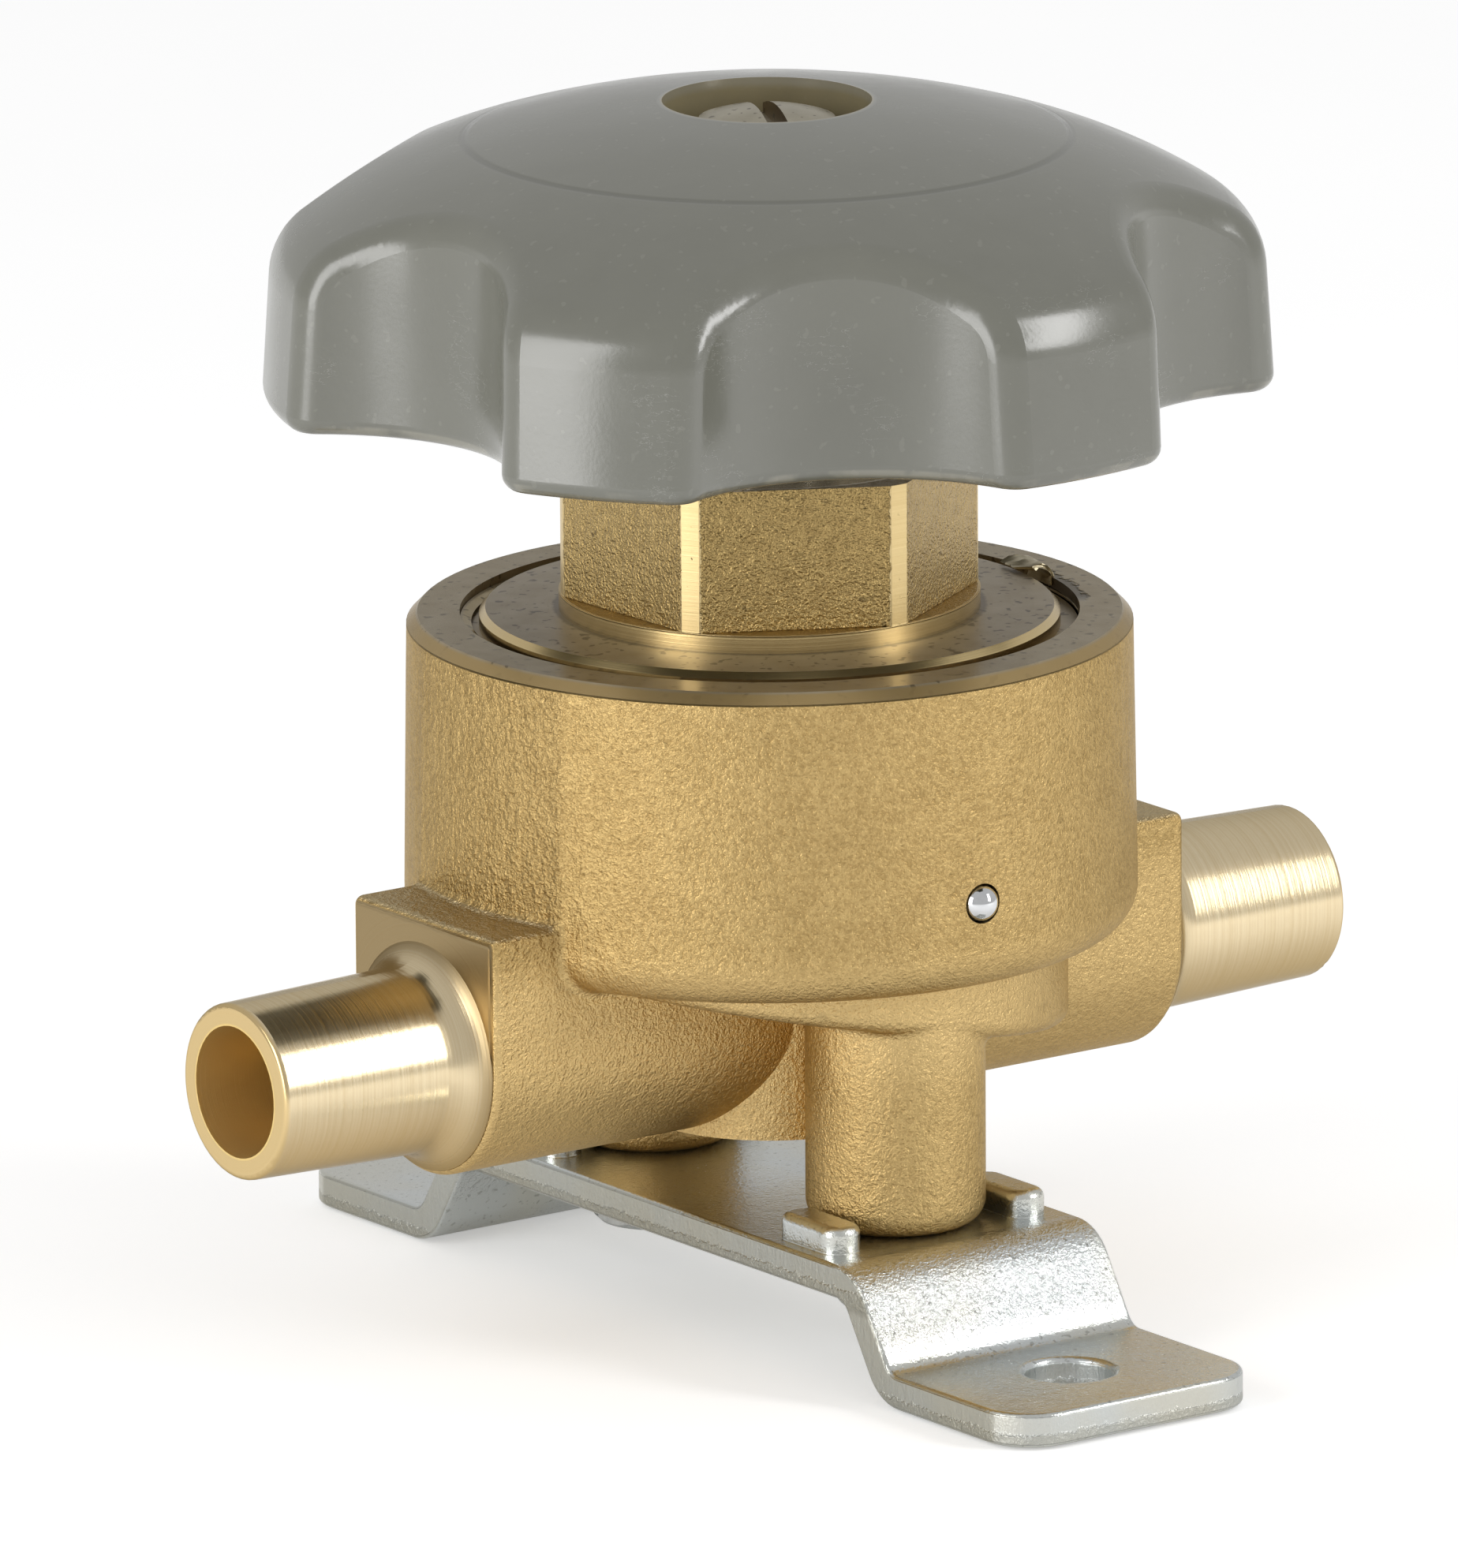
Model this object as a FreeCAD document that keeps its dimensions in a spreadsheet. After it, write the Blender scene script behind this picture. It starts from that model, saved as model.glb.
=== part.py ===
import FreeCAD, Part
import math
import os
import re

import Sketcher

# Driving dimensions, in millimetres and degrees
SIZES = {
    # Solder stubs and the passages through the forging
    "axis_height": 23.2,
    "half_length": 47.5,
    "stub_end_radius": 6.4,
    "stub_root_radius": 6.75,
    "stub_face_margin": 0.35,
    "stub_flare_length": 2.6,
    "stub_edge_round": 0.4,
    "socket_radius": 4.8,
    "socket_depth": 10.0,
    "passage_radius": 4.0,
    "block_overhang": 4.5,
    "block_half_width": 8.7,
    "block_rise": 10.2,
    "outlet_knee": 22.0,
    "outlet_drill_radius": 3.3,
    "outlet_drill_length": 13.0,
    "outlet_drill_angle": 45.0,
    # Drum, lower boss, central hub and posts of the forging
    "drum_base_rise": 5.2,
    "drum_height": 23.2,
    "drum_radius": 26.2,
    "drum_draft": 0.3,
    "drum_base_round": 3.0,
    "drum_top_chamfer": 0.8,
    "boss_inset": 5.05,
    "boss_least_depth": 0.41,
    "boss_slope": 10.8,
    "boss_round": 1.2,
    "forging_round": 0.7,
    "hub_radius": 9.8,
    "post_radius": 6.5,
    "post_inset": 0.05,
    "post_round": 1.8,
    # Chamber and seat inside the drum
    "thread_radius": 22.35,
    "chamber_radius": 16.0,
    "chamber_floor_rise": 7.8,
    "chamber_depth": 10.0,
    "seat_rise": 3.0,
    "seat_radius": 5.6,
    # Steel ball in the side of the drum
    "side_ball_radius": 1.4,
    "side_ball_rise": 11.9,
    "side_ball_shift": 0.7,
    "side_ball_proud": 0.8,
    "side_hole_depth": 3.2,
    # Bracket, its lugs and its screws
    "plate_height": 9.2,
    "sheet": 2.5,
    "bracket_width": 22.0,
    "bracket_reach": 44.2,
    "plate_margin": 3.2,
    "riser_angle": 58.0,
    "bend_round": 1.5,
    "foot_corner_round": 4.0,
    "foot_hole_radius": 3.2,
    "foot_hole_inset": 8.7,
    "foot_hole_edge_round": 0.5,
    "strip_edge_round": 0.35,
    "lug_length": 7.2,
    "lug_width": 3.1,
    "lug_height": 1.95,
    "lug_gap": 0.2,
    "lug_shift": 2.1,
    "lug_round": 0.7,
    "lug_end_flat": 0.2,
    "screw_radius": 2.5,
    "screw_reach": 9.0,
    "screw_head_across": 8.0,
    "screw_head_height": 3.7,
    "screw_head_face_radius": 3.8,
    "screw_head_chamfer": 0.5,
    "screw_head_turn": 20.0,
    "screw_hole_gap": 0.25,
    "tap_depth_spare": 1.5,
    # Diaphragms and slip ring
    "disc_thickness": 0.25,
    "disc_radius": 20.8,
    "disc_flat_radius": 9.4,
    "disc_dish": 1.5,
    "clamp_radius": 16.4,
    "slip_thickness": 1.0,
    # Bonnet
    "face_rise": 0.3,
    "flange_radius": 20.95,
    "flange_height": 1.4,
    "flange_chamfer": 0.45,
    "cavity_radius": 15.2,
    "cavity_height": 4.2,
    "collar_radius": 15.2,
    "collar_height": 1.3,
    "hex_across": 26.8,
    "hex_corner_radius": 15.1,
    "hex_height": 10.3,
    "hex_turn": 91.6,
    "neck_wall_height": 5.0,
    # Spindle, its seal, ball and pad
    "spindle_thread_radius": 6.0,
    "spindle_thread_length": 6.8,
    "spindle_neck_radius": 5.0,
    "spindle_nose_radius": 4.2,
    "spindle_nose_length": 3.2,
    "spindle_square": 7.0,
    "spindle_square_spare": 0.4,
    "seal_section": 1.8,
    "seal_drop": 1.4,
    "thrust_ball_radius": 2.5,
    "ball_sink": 1.6,
    "nose_gap": 1.5,
    "pad_radius": 9.0,
    "pad_thickness": 3.2,
    "pad_round": 0.8,
    # Valve plate, seat disc and spring
    "seat_disc_radius": 6.2,
    "seat_disc_thickness": 2.4,
    "seat_disc_proud": 0.6,
    "plate_cup_radius": 7.2,
    "plate_flange_radius": 9.8,
    "plate_flange_thickness": 2.4,
    "spring_radius": 8.6,
    "spring_wire": 1.0,
    "spring_turns": 3.5,
    # Handwheel with its screw and washer
    "wheel_lift": 4.0,
    "wheel_height": 21.6,
    "wheel_rim_radius": 36.4,
    "wheel_shoulder_radius": 35.8,
    "wheel_shoulder_height": 9.4,
    "wheel_brow_radius": 33.2,
    "wheel_brow_height": 13.8,
    "wheel_ring_radius": 22.8,
    "wheel_ring_height": 18.6,
    "wheel_wall": 3.0,
    "lobe_count": 6,
    "lobe_turn": 3.4,
    "scallop_radius": 13.9,
    "scallop_offset": 42.4,
    "scallop_round": 2.5,
    "wheel_edge_round": 1.2,
    "wheel_hub_radius": 9.0,
    "recess_radius": 7.55,
    "recess_depth": 4.0,
    "wheel_screw_radius": 2.5,
    "wheel_screw_reach": 11.0,
    "wheel_screw_head_radius": 4.9,
    "wheel_screw_head_height": 1.9,
    "wheel_screw_dome": 0.83,
    "dome_curve": 15.0,
    "wheel_screw_slot": 1.5,
    "wheel_screw_slot_depth": 1.5,
    "slot_turn": 66.0,
    "washer_radius": 5.0,
    "washer_thickness": 0.8,
    # Clearances
    "seat_gap": 0.02,
    "running_gap": 0.05,
    "thread_gap": 0.1,
    "over_cut": 1.0,
}

# The stack of diaphragms, from the seat up, and the shape shared by all wrench heads
DIAPHRAGMS = ("diaphragm_lower", "diaphragm_middle", "diaphragm_upper")
HEX_SIDES = 6

# Radii and places that follow from the driving dimensions
DRUM_BASE_RADIUS = "(drum_radius + drum_draft)"
BOSS_RADIUS = f"({DRUM_BASE_RADIUS} - boss_inset)"
BLOCK_REACH = f"({DRUM_BASE_RADIUS} + block_overhang)"
POST_OFFSET = f"({BOSS_RADIUS} - post_radius - post_inset)"
PLATE_REACH = f"({POST_OFFSET} + post_radius + plate_margin)"
FOOT_HOLE_OFFSET = "(bracket_reach - foot_hole_inset)"

# Heights that follow from the driving dimensions
DRUM_BASE = "(axis_height + drum_base_rise)"
DRUM_TOP = f"({DRUM_BASE} + drum_height)"
HUB_BASE = "(axis_height - block_half_width)"
CHAMBER_FLOOR = "(axis_height + chamber_floor_rise)"
SEAT_TOP = f"({CHAMBER_FLOOR} + seat_rise)"
LEDGE = f"({CHAMBER_FLOOR} + chamber_depth)"
DISC_PITCH = "(disc_thickness + seat_gap)"
STACK_HEIGHT = f"({len(DIAPHRAGMS)} * {DISC_PITCH})"
SLIP_BASE = f"({LEDGE} + {STACK_HEIGHT})"
BONNET_RIM = f"({SLIP_BASE} + slip_thickness + seat_gap)"
CAVITY_ROOF = f"({BONNET_RIM} + cavity_height)"
BONNET_FACE = f"({DRUM_TOP} + face_rise)"
HEX_BASE = f"({BONNET_FACE} + collar_height)"
HEX_TOP = f"({HEX_BASE} + hex_height)"
NECK_BASE = f"({HEX_TOP} - neck_wall_height)"
PLATE_TOP = f"({LEDGE} - disc_dish)"
PAD_BASE = f"({PLATE_TOP} + {STACK_HEIGHT})"
PAD_TOP = f"({PAD_BASE} + pad_thickness)"
BALL_MIDDLE = f"({PAD_TOP} + thrust_ball_radius - ball_sink)"
NOSE_BASE = f"({PAD_TOP} + nose_gap)"
THREAD_BASE = f"({NOSE_BASE} + spindle_nose_length)"
THREAD_TOP = f"({THREAD_BASE} + spindle_thread_length)"
SEAL_TOP = f"({HEX_TOP} - seal_drop)"
FLANGE_BASE = f"({PLATE_TOP} - plate_flange_thickness)"
DISC_TOP = f"({SEAT_TOP} + seat_disc_thickness)"
WHEEL_BASE = f"({HEX_TOP} + wheel_lift)"
WHEEL_TOP = f"({WHEEL_BASE} + wheel_height)"
RECESS_FLOOR = f"({WHEEL_TOP} - recess_depth)"
WASHER_TOP = f"({RECESS_FLOOR} + washer_thickness)"
SCREW_BEARING = "(plate_height - sheet)"

doc = FreeCAD.newDocument("isolating_valve")
sheet = doc.addObject("Spreadsheet::Sheet", "Sizes")
for row, (name, value) in enumerate(SIZES.items(), start=1):
    sheet.set(f"A{row}", name)
    sheet.set(f"B{row}", str(value))
    sheet.setAlias(f"B{row}", name)
working_sheet = doc.addObject("Spreadsheet::Sheet", "Working")
doc.recompute()


def linked(text):
    """Turn each size name in an expression into a reference to the sheet."""
    return re.sub(r"[a-z][a-z_]*", lambda word: f"Sizes.{word[0]}" if word[0] in SIZES else word[0], text)


def number(text):
    """The present value of an expression, worked out on a sheet of its own."""
    cell = "A1"
    working_sheet.set(cell, f"={linked(text)}")
    working_sheet.recompute()
    return float(working_sheet.get(cell))


def bind(item, sizes):
    """Tie properties of an object to expressions on the sheet."""
    for path, text in sizes.items():
        item.setExpression(path, linked(text))


def new_body(label):
    body = doc.addObject("PartDesign::Body", label)
    body.Label = label
    return body


def sketch_on(body, plane, name, right="0", up="0", away="0", turn="0"):
    """A sketch on one of the body's own origin planes, moved and turned by named sizes."""
    sketch = body.newObject("Sketcher::SketchObject", name)
    support = next(item for item in body.Origin.OriginFeatures if item.Role == plane)
    sketch.AttachmentSupport = (support, [""])
    sketch.MapMode = "FlatFace"
    upright = FreeCAD.Rotation(FreeCAD.Vector(0, 0, 1), 0)
    sketch.AttachmentOffset = FreeCAD.Placement(FreeCAD.Vector(), upright)
    offsets = {"Base.x": right, "Base.y": up, "Base.z": away, "Rotation.Angle": turn}
    bind(sketch, {f"AttachmentOffset.{path}": text for path, text in offsets.items() if text != "0"})
    return sketch


def pin_point(sketch, geometry, end, x, y):
    """Hold one point of a sketch at two expressions measured from the sketch's origin."""
    for kind, text, axis in (("DistanceX", x, -2), ("DistanceY", y, -1)):
        if text == "0":
            sketch.addConstraint(Sketcher.Constraint("PointOnObject", geometry, end, axis))
        else:
            index = sketch.addConstraint(Sketcher.Constraint(kind, -1, 1, geometry, end, 1.0))
            sketch.setExpression(f"Constraints[{index}]", linked(text))


def outline(sketch, points, curves=None, hollow=()):
    """A closed outline through the points, anticlockwise; curves gives the radius size of each arc.

    An arc stands out from the outline, unless its run is among the hollow ones. An arc with no radius
    carries on smoothly from the run before it.
    """
    count = len(points)
    start_radius = 100.0
    corners = []
    for index in range(count):
        angle = 2 * math.pi * index / count
        corners.append(FreeCAD.Vector(start_radius * math.cos(angle), start_radius * math.sin(angle), 0))
    for index in range(count):
        sketch.addGeometry(Part.LineSegment(corners[index], corners[(index + 1) % count]))
    for index, (x, y) in enumerate(points):
        sketch.addConstraint(Sketcher.Constraint("Coincident", (index - 1) % count, 2, index, 1))
        pin_point(sketch, index, 1, x, y)
    doc.recompute()
    arcs = {}
    for index, radius in (curves or {}).items():
        if radius is None:
            arcs[index] = flow_on(sketch, index, arcs.get(index - 1, index - 1), index in hollow)
        else:
            arcs[index] = bow(sketch, index, radius, index in hollow)
        doc.recompute()
    return sketch


def swap_for_arc(sketch, index, radius, hollow=False):
    """Put an arc in place of one straight run, standing out to the right of its direction."""
    run = sketch.Geometry[index]
    start, end = run.StartPoint, run.EndPoint
    if hollow:
        start, end = end, start
    chord = end - start
    left = FreeCAD.Vector(-chord.y, chord.x, 0).normalize()
    centre = (start + end) * 0.5 + left * math.sqrt(radius ** 2 - (chord.Length / 2) ** 2)
    begin = math.atan2(start.y - centre.y, start.x - centre.x)
    finish = math.atan2(end.y - centre.y, end.x - centre.x)
    circle = Part.Circle(centre, FreeCAD.Vector(0, 0, 1), radius)
    sketch.toggleConstruction(index)
    return sketch.addGeometry(Part.ArcOfCircle(circle, begin, finish))


def bow(sketch, index, radius, hollow):
    """Make one run of an outline an arc of a named radius."""
    arc = swap_for_arc(sketch, index, SIZES[radius], hollow)
    first, last = (2, 1) if hollow else (1, 2)
    sketch.addConstraint(Sketcher.Constraint("Coincident", arc, 1, index, first))
    sketch.addConstraint(Sketcher.Constraint("Coincident", arc, 2, index, last))
    held = sketch.addConstraint(Sketcher.Constraint("Radius", arc, SIZES[radius]))
    sketch.setExpression(f"Constraints[{held}]", linked(radius))
    return arc


def flow_on(sketch, index, before, hollow):
    """Make one run of an outline an arc that starts in the direction in which the run before it ends."""
    ahead = sketch.Geometry[before]
    chord = sketch.Geometry[index].EndPoint - sketch.Geometry[index].StartPoint
    bend = ahead.tangent(ahead.LastParameter)[0].getAngle(chord)
    arc = swap_for_arc(sketch, index, chord.Length / 2 / math.sin(bend), hollow)
    first, last = (2, 1) if hollow else (1, 2)
    sketch.addConstraint(Sketcher.Constraint("Tangent", before, 2, arc, first))
    sketch.addConstraint(Sketcher.Constraint("Coincident", arc, last, index, 2))
    return arc


def add_circle(sketch, radius, x="0", y="0"):
    index = sketch.addGeometry(Part.Circle(FreeCAD.Vector(5, 5, 0), FreeCAD.Vector(0, 0, 1), 2.0))
    pin_point(sketch, index, 3, x, y)
    held = sketch.addConstraint(Sketcher.Constraint("Radius", index, 2.0))
    sketch.setExpression(f"Constraints[{held}]", linked(radius))
    return sketch


def cut_hexagon(body, name, across, turn, top, height):
    """Cut a turned head to a hexagon, given across its flats."""
    sketch = sketch_on(body, "XY_Plane", f"{name}_outline", away=top)
    corner = f"({across} / 2 / cos(180 / {HEX_SIDES}))"
    angles = [f"({turn} + {index} * 360 / {HEX_SIDES})" for index in range(HEX_SIDES)]
    outline(sketch, [(f"{corner} * cos({angle})", f"{corner} * sin({angle})") for angle in angles])
    add_circle(sketch, across)
    return shape_feature(body, "Pocket", name, sketch, {"Length": height})


def shape_feature(body, kind, name, profile, sizes=None, **settings):
    """A sketched feature of a body, such as a pad or a groove, with its sizes tied to the sheet."""
    feature = body.newObject(f"PartDesign::{kind}", name)
    feature.Profile = profile
    for key, value in settings.items():
        setattr(feature, key, value)
    bind(feature, sizes or {})
    doc.recompute()
    return feature


def turn_profile(body, kind, name, points, curves=None, hollow=(), axis="V_Axis", **place):
    """Revolve an outline of radius and height pairs about an axis of its own sketch."""
    sketch = sketch_on(body, "XZ_Plane", f"{name}_profile", **place)
    outline(sketch, points, curves, hollow)
    return shape_feature(body, kind, name, sketch, ReferenceAxis=(sketch, [axis]), Angle=360.0)


def pad_circles(body, name, radius, centres, base, height):
    """Round columns that stand on a level plane."""
    sketch = sketch_on(body, "XY_Plane", f"{name}_outline", away=base)
    for x, y in centres:
        add_circle(sketch, radius, x, y)
    return shape_feature(body, "Pad", name, sketch, {"Length": height})


def edge_names(shape, wanted):
    """The names of the edges that the test picks, leaving out those shrunk to a point."""
    return [f"Edge{index}" for index, edge in enumerate(shape.Edges, start=1)
            if not edge.Degenerated and wanted(edge)]


def dress_edges(body, kind, name, size, wanted):
    """Round or chamfer the edges of a body's last feature that the test picks."""
    base = body.Tip
    feature = body.newObject(f"PartDesign::{kind}", name)
    feature.Base = (base, edge_names(base.Shape, wanted))
    bind(feature, {"Radius" if kind == "Fillet" else "Size": size})
    doc.recompute()
    return feature


def is_circle(edge, radius, height=None):
    """True for a round edge of the given radius, at the given height if there is one."""
    curve = edge.Curve
    if not isinstance(curve, Part.Circle) or abs(curve.Radius - radius) > 1e-4:
        return False
    return height is None or abs(curve.Center.z - height) < 1e-4


def is_level(edge, height):
    """True for an edge that lies in the level plane at the given height."""
    spots = [vertex.Z for vertex in edge.Vertexes] + [edge.CenterOfMass.z]
    return all(abs(spot - height) < 1e-4 for spot in spots)


def mirror_feature(body, name, originals, plane):
    feature = body.newObject("PartDesign::Mirrored", name)
    feature.Originals = originals
    feature.MirrorPlane = (next(item for item in body.Origin.OriginFeatures if item.Role == plane), [""])
    body.Tip = feature
    doc.recompute()
    return feature


def polar_feature(body, name, originals, count):
    feature = body.newObject("PartDesign::PolarPattern", name)
    feature.Originals = originals
    feature.Axis = (next(item for item in body.Origin.OriginFeatures if item.Role == "Z_Axis"), [""])
    feature.Angle = 360.0
    bind(feature, {"Occurrences": count})
    body.Tip = feature
    doc.recompute()
    return feature


def turned_piece(label, points, curves=None):
    """A piece that is one turned solid about the spindle axis."""
    body = new_body(label)
    turn_profile(body, "Revolution", f"{label}_turned", points, curves)
    return body


def make_valve_body():
    """The brass forging with its machined stubs, passages, seat and chamber."""
    body = new_body("valve_body")
    drum_base = number(DRUM_BASE)
    post_offset = number(POST_OFFSET)

    # The lower boss under the drum, deeper on the outlet side
    wedge_reach = f"({BOSS_RADIUS} + over_cut)"
    slope_drop = f"tan(boss_slope) * {wedge_reach}"
    boss_middle = f"({DRUM_BASE} - boss_least_depth - tan(boss_slope) * {BOSS_RADIUS})"
    boss_floor = f"({boss_middle} - {slope_drop})"
    pad_circles(body, "boss", BOSS_RADIUS, [("0", "0")], boss_floor,
                f"{DRUM_BASE} + drum_base_round - {boss_floor}")
    wedge = sketch_on(body, "XZ_Plane", "boss_wedge")
    outline(wedge, [(f"-{wedge_reach}", f"{boss_floor} - over_cut"),
                    (wedge_reach, f"{boss_floor} - over_cut"), (wedge_reach, boss_floor),
                    (f"-{wedge_reach}", f"{boss_middle} + {slope_drop}")])
    shape_feature(body, "Pocket", "boss_underside", wedge, {"Length": f"2 * {wedge_reach}"}, Midplane=True)
    dress_edges(body, "Fillet", "boss_edge", "boss_round",
                lambda edge: isinstance(edge.Curve, Part.Ellipse))

    # The drum with its draft
    turn_profile(body, "Revolution", "drum",
                 [("0", DRUM_BASE), (f"{DRUM_BASE_RADIUS} - drum_base_round", DRUM_BASE),
                  (DRUM_BASE_RADIUS, f"{DRUM_BASE} + drum_base_round"),
                  ("drum_radius", f"{DRUM_TOP} - drum_top_chamfer"),
                  ("drum_radius - drum_top_chamfer", DRUM_TOP), ("0", DRUM_TOP)], {1: "drum_base_round"})

    # The channel along the flow, round below and flat on top
    channel_round = sketch_on(body, "YZ_Plane", "channel_round")
    add_circle(channel_round, "block_half_width", "0", "axis_height")
    channel_length = {"Length": f"2 * {BLOCK_REACH}"}
    shape_feature(body, "Pad", "channel_bottom", channel_round, channel_length, Midplane=True)
    channel_walls = sketch_on(body, "YZ_Plane", "channel_walls")
    outline(channel_walls, [("-block_half_width", "axis_height"), ("block_half_width", "axis_height"),
                            ("block_half_width", "axis_height + block_rise"),
                            ("-block_half_width", "axis_height + block_rise")])
    shape_feature(body, "Pad", "channel_top", channel_walls, channel_length, Midplane=True)

    # Soft corners where the drum runs into the channel, and on the channel's own outer edges
    block_top = number("axis_height + block_rise")
    block_end = number(BLOCK_REACH)

    def is_drum_joint(edge):
        middle = edge.CenterOfMass
        on_top = is_level(edge, block_top) and isinstance(edge.Curve, Part.Circle)
        on_side = abs(abs(middle.y) - SIZES["block_half_width"]) < 1e-3 and middle.z > drum_base + 1e-3
        return on_top or on_side and isinstance(edge.Curve, Part.BSplineCurve)

    dress_edges(body, "Fillet", "drum_joints", "forging_round", is_drum_joint)

    def is_block_edge(edge):
        middle = edge.CenterOfMass
        on_end = abs(abs(middle.x) - block_end) < 1e-3
        along_top = is_level(edge, block_top) and abs(abs(middle.y) - SIZES["block_half_width"]) < 1e-3
        return on_end or along_top and isinstance(edge.Curve, Part.Line)

    dress_edges(body, "Fillet", "block_edges", "forging_round", is_block_edge)

    # The hub under the seat and the two posts for the bracket
    pad_circles(body, "hub", "hub_radius", [("0", "0")], HUB_BASE, f"{DRUM_BASE} + over_cut - {HUB_BASE}")
    pad_circles(body, "posts", "post_radius", [("0", f"-{POST_OFFSET}"), ("0", POST_OFFSET)],
                "plate_height", f"{DRUM_BASE} + over_cut - plate_height")
    dress_edges(body, "Fillet", "post_edges", "post_round",
                lambda edge: is_circle(edge, SIZES["post_radius"], SIZES["plate_height"]))

    def is_post_root(edge):
        middle = edge.CenterOfMass
        beside_post = math.hypot(middle.x, abs(middle.y) - post_offset) < SIZES["post_radius"]
        return beside_post and isinstance(edge.Curve, Part.Ellipse)

    dress_edges(body, "Fillet", "post_roots", "forging_round", is_post_root)

    # The turned stubs, with a fillet on the block faces
    flare_radius = "block_half_width - stub_face_margin"
    stub = turn_profile(body, "Revolution", "stub",
                        [(f"{BLOCK_REACH} - over_cut", "0"), ("half_length", "0"),
                         ("half_length", "stub_end_radius"),
                         (f"{BLOCK_REACH} + stub_flare_length", "stub_root_radius"),
                         (BLOCK_REACH, flare_radius), (f"{BLOCK_REACH} - over_cut", flare_radius)],
                        {3: None}, {3},
                        axis="H_Axis", up="axis_height")
    mirror_feature(body, "stubs", [stub], "YZ_Plane")
    dress_edges(body, "Fillet", "stub_ends", "stub_edge_round",
                lambda edge: is_circle(edge, SIZES["stub_end_radius"]))

    # The chamber, the seat and the threaded mouth for the bonnet
    turn_profile(body, "Groove", "chamber",
                 [("0", "axis_height"), ("passage_radius", "axis_height"), ("passage_radius", SEAT_TOP),
                  ("seat_radius", SEAT_TOP), ("seat_radius", CHAMBER_FLOOR),
                  ("chamber_radius", CHAMBER_FLOOR), ("chamber_radius", LEDGE), ("thread_radius", LEDGE),
                  ("thread_radius", f"{DRUM_TOP} + over_cut"), ("0", f"{DRUM_TOP} + over_cut")])

    # The inlet runs to the middle and up through the seat
    socket_end = "(half_length - socket_depth)"
    stub_past = "half_length + over_cut"
    turn_profile(body, "Groove", "inlet",
                 [(f"-({stub_past})", "0"), ("passage_radius", "0"), ("passage_radius", "passage_radius"),
                  (f"-{socket_end}", "passage_radius"), (f"-{socket_end}", "socket_radius"),
                  (f"-({stub_past})", "socket_radius")], axis="H_Axis", up="axis_height")

    # The outlet leaves the chamber by a slanted drilling
    turn_profile(body, "Groove", "outlet",
                 [("outlet_knee - passage_radius", "0"), (stub_past, "0"), (stub_past, "socket_radius"),
                  (socket_end, "socket_radius"), (socket_end, "passage_radius"),
                  ("outlet_knee - passage_radius", "passage_radius")], axis="H_Axis", up="axis_height")
    turn_profile(body, "Groove", "outlet_drilling",
                 [("0", "0"), ("outlet_drill_radius", "0"), ("outlet_drill_radius", "outlet_drill_length"),
                  ("0", "outlet_drill_length")],
                 right="outlet_knee", up="axis_height", turn="outlet_drill_angle")

    # Tapped holes in the posts and the blind hole for the steel ball
    taps = sketch_on(body, "XY_Plane", "post_taps", away="plate_height")
    add_circle(taps, "screw_radius + running_gap", "0", f"-{POST_OFFSET}")
    add_circle(taps, "screw_radius + running_gap", "0", POST_OFFSET)
    tap_depth = {"Length": "screw_reach + tap_depth_spare"}
    shape_feature(body, "Pocket", "post_holes", taps, tap_depth, Reversed=True)
    ball_hole = sketch_on(body, "XZ_Plane", "side_hole_outline", away=f"{DRUM_BASE_RADIUS} + over_cut")
    add_circle(ball_hole, "side_ball_radius + running_gap", "-side_ball_shift",
               "axis_height + side_ball_rise")
    shape_feature(body, "Pocket", "side_hole", ball_hole, {"Length": "side_hole_depth + over_cut"})
    return body


def make_side_ball():
    ball = doc.addObject("Part::Sphere", "side_ball")
    bind(ball, {"Radius": "side_ball_radius",
                "Placement.Base.x": "-side_ball_shift",
                "Placement.Base.y": f"side_ball_radius - side_ball_proud - {DRUM_BASE_RADIUS}",
                "Placement.Base.z": "axis_height + side_ball_rise"})
    return ball


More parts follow.
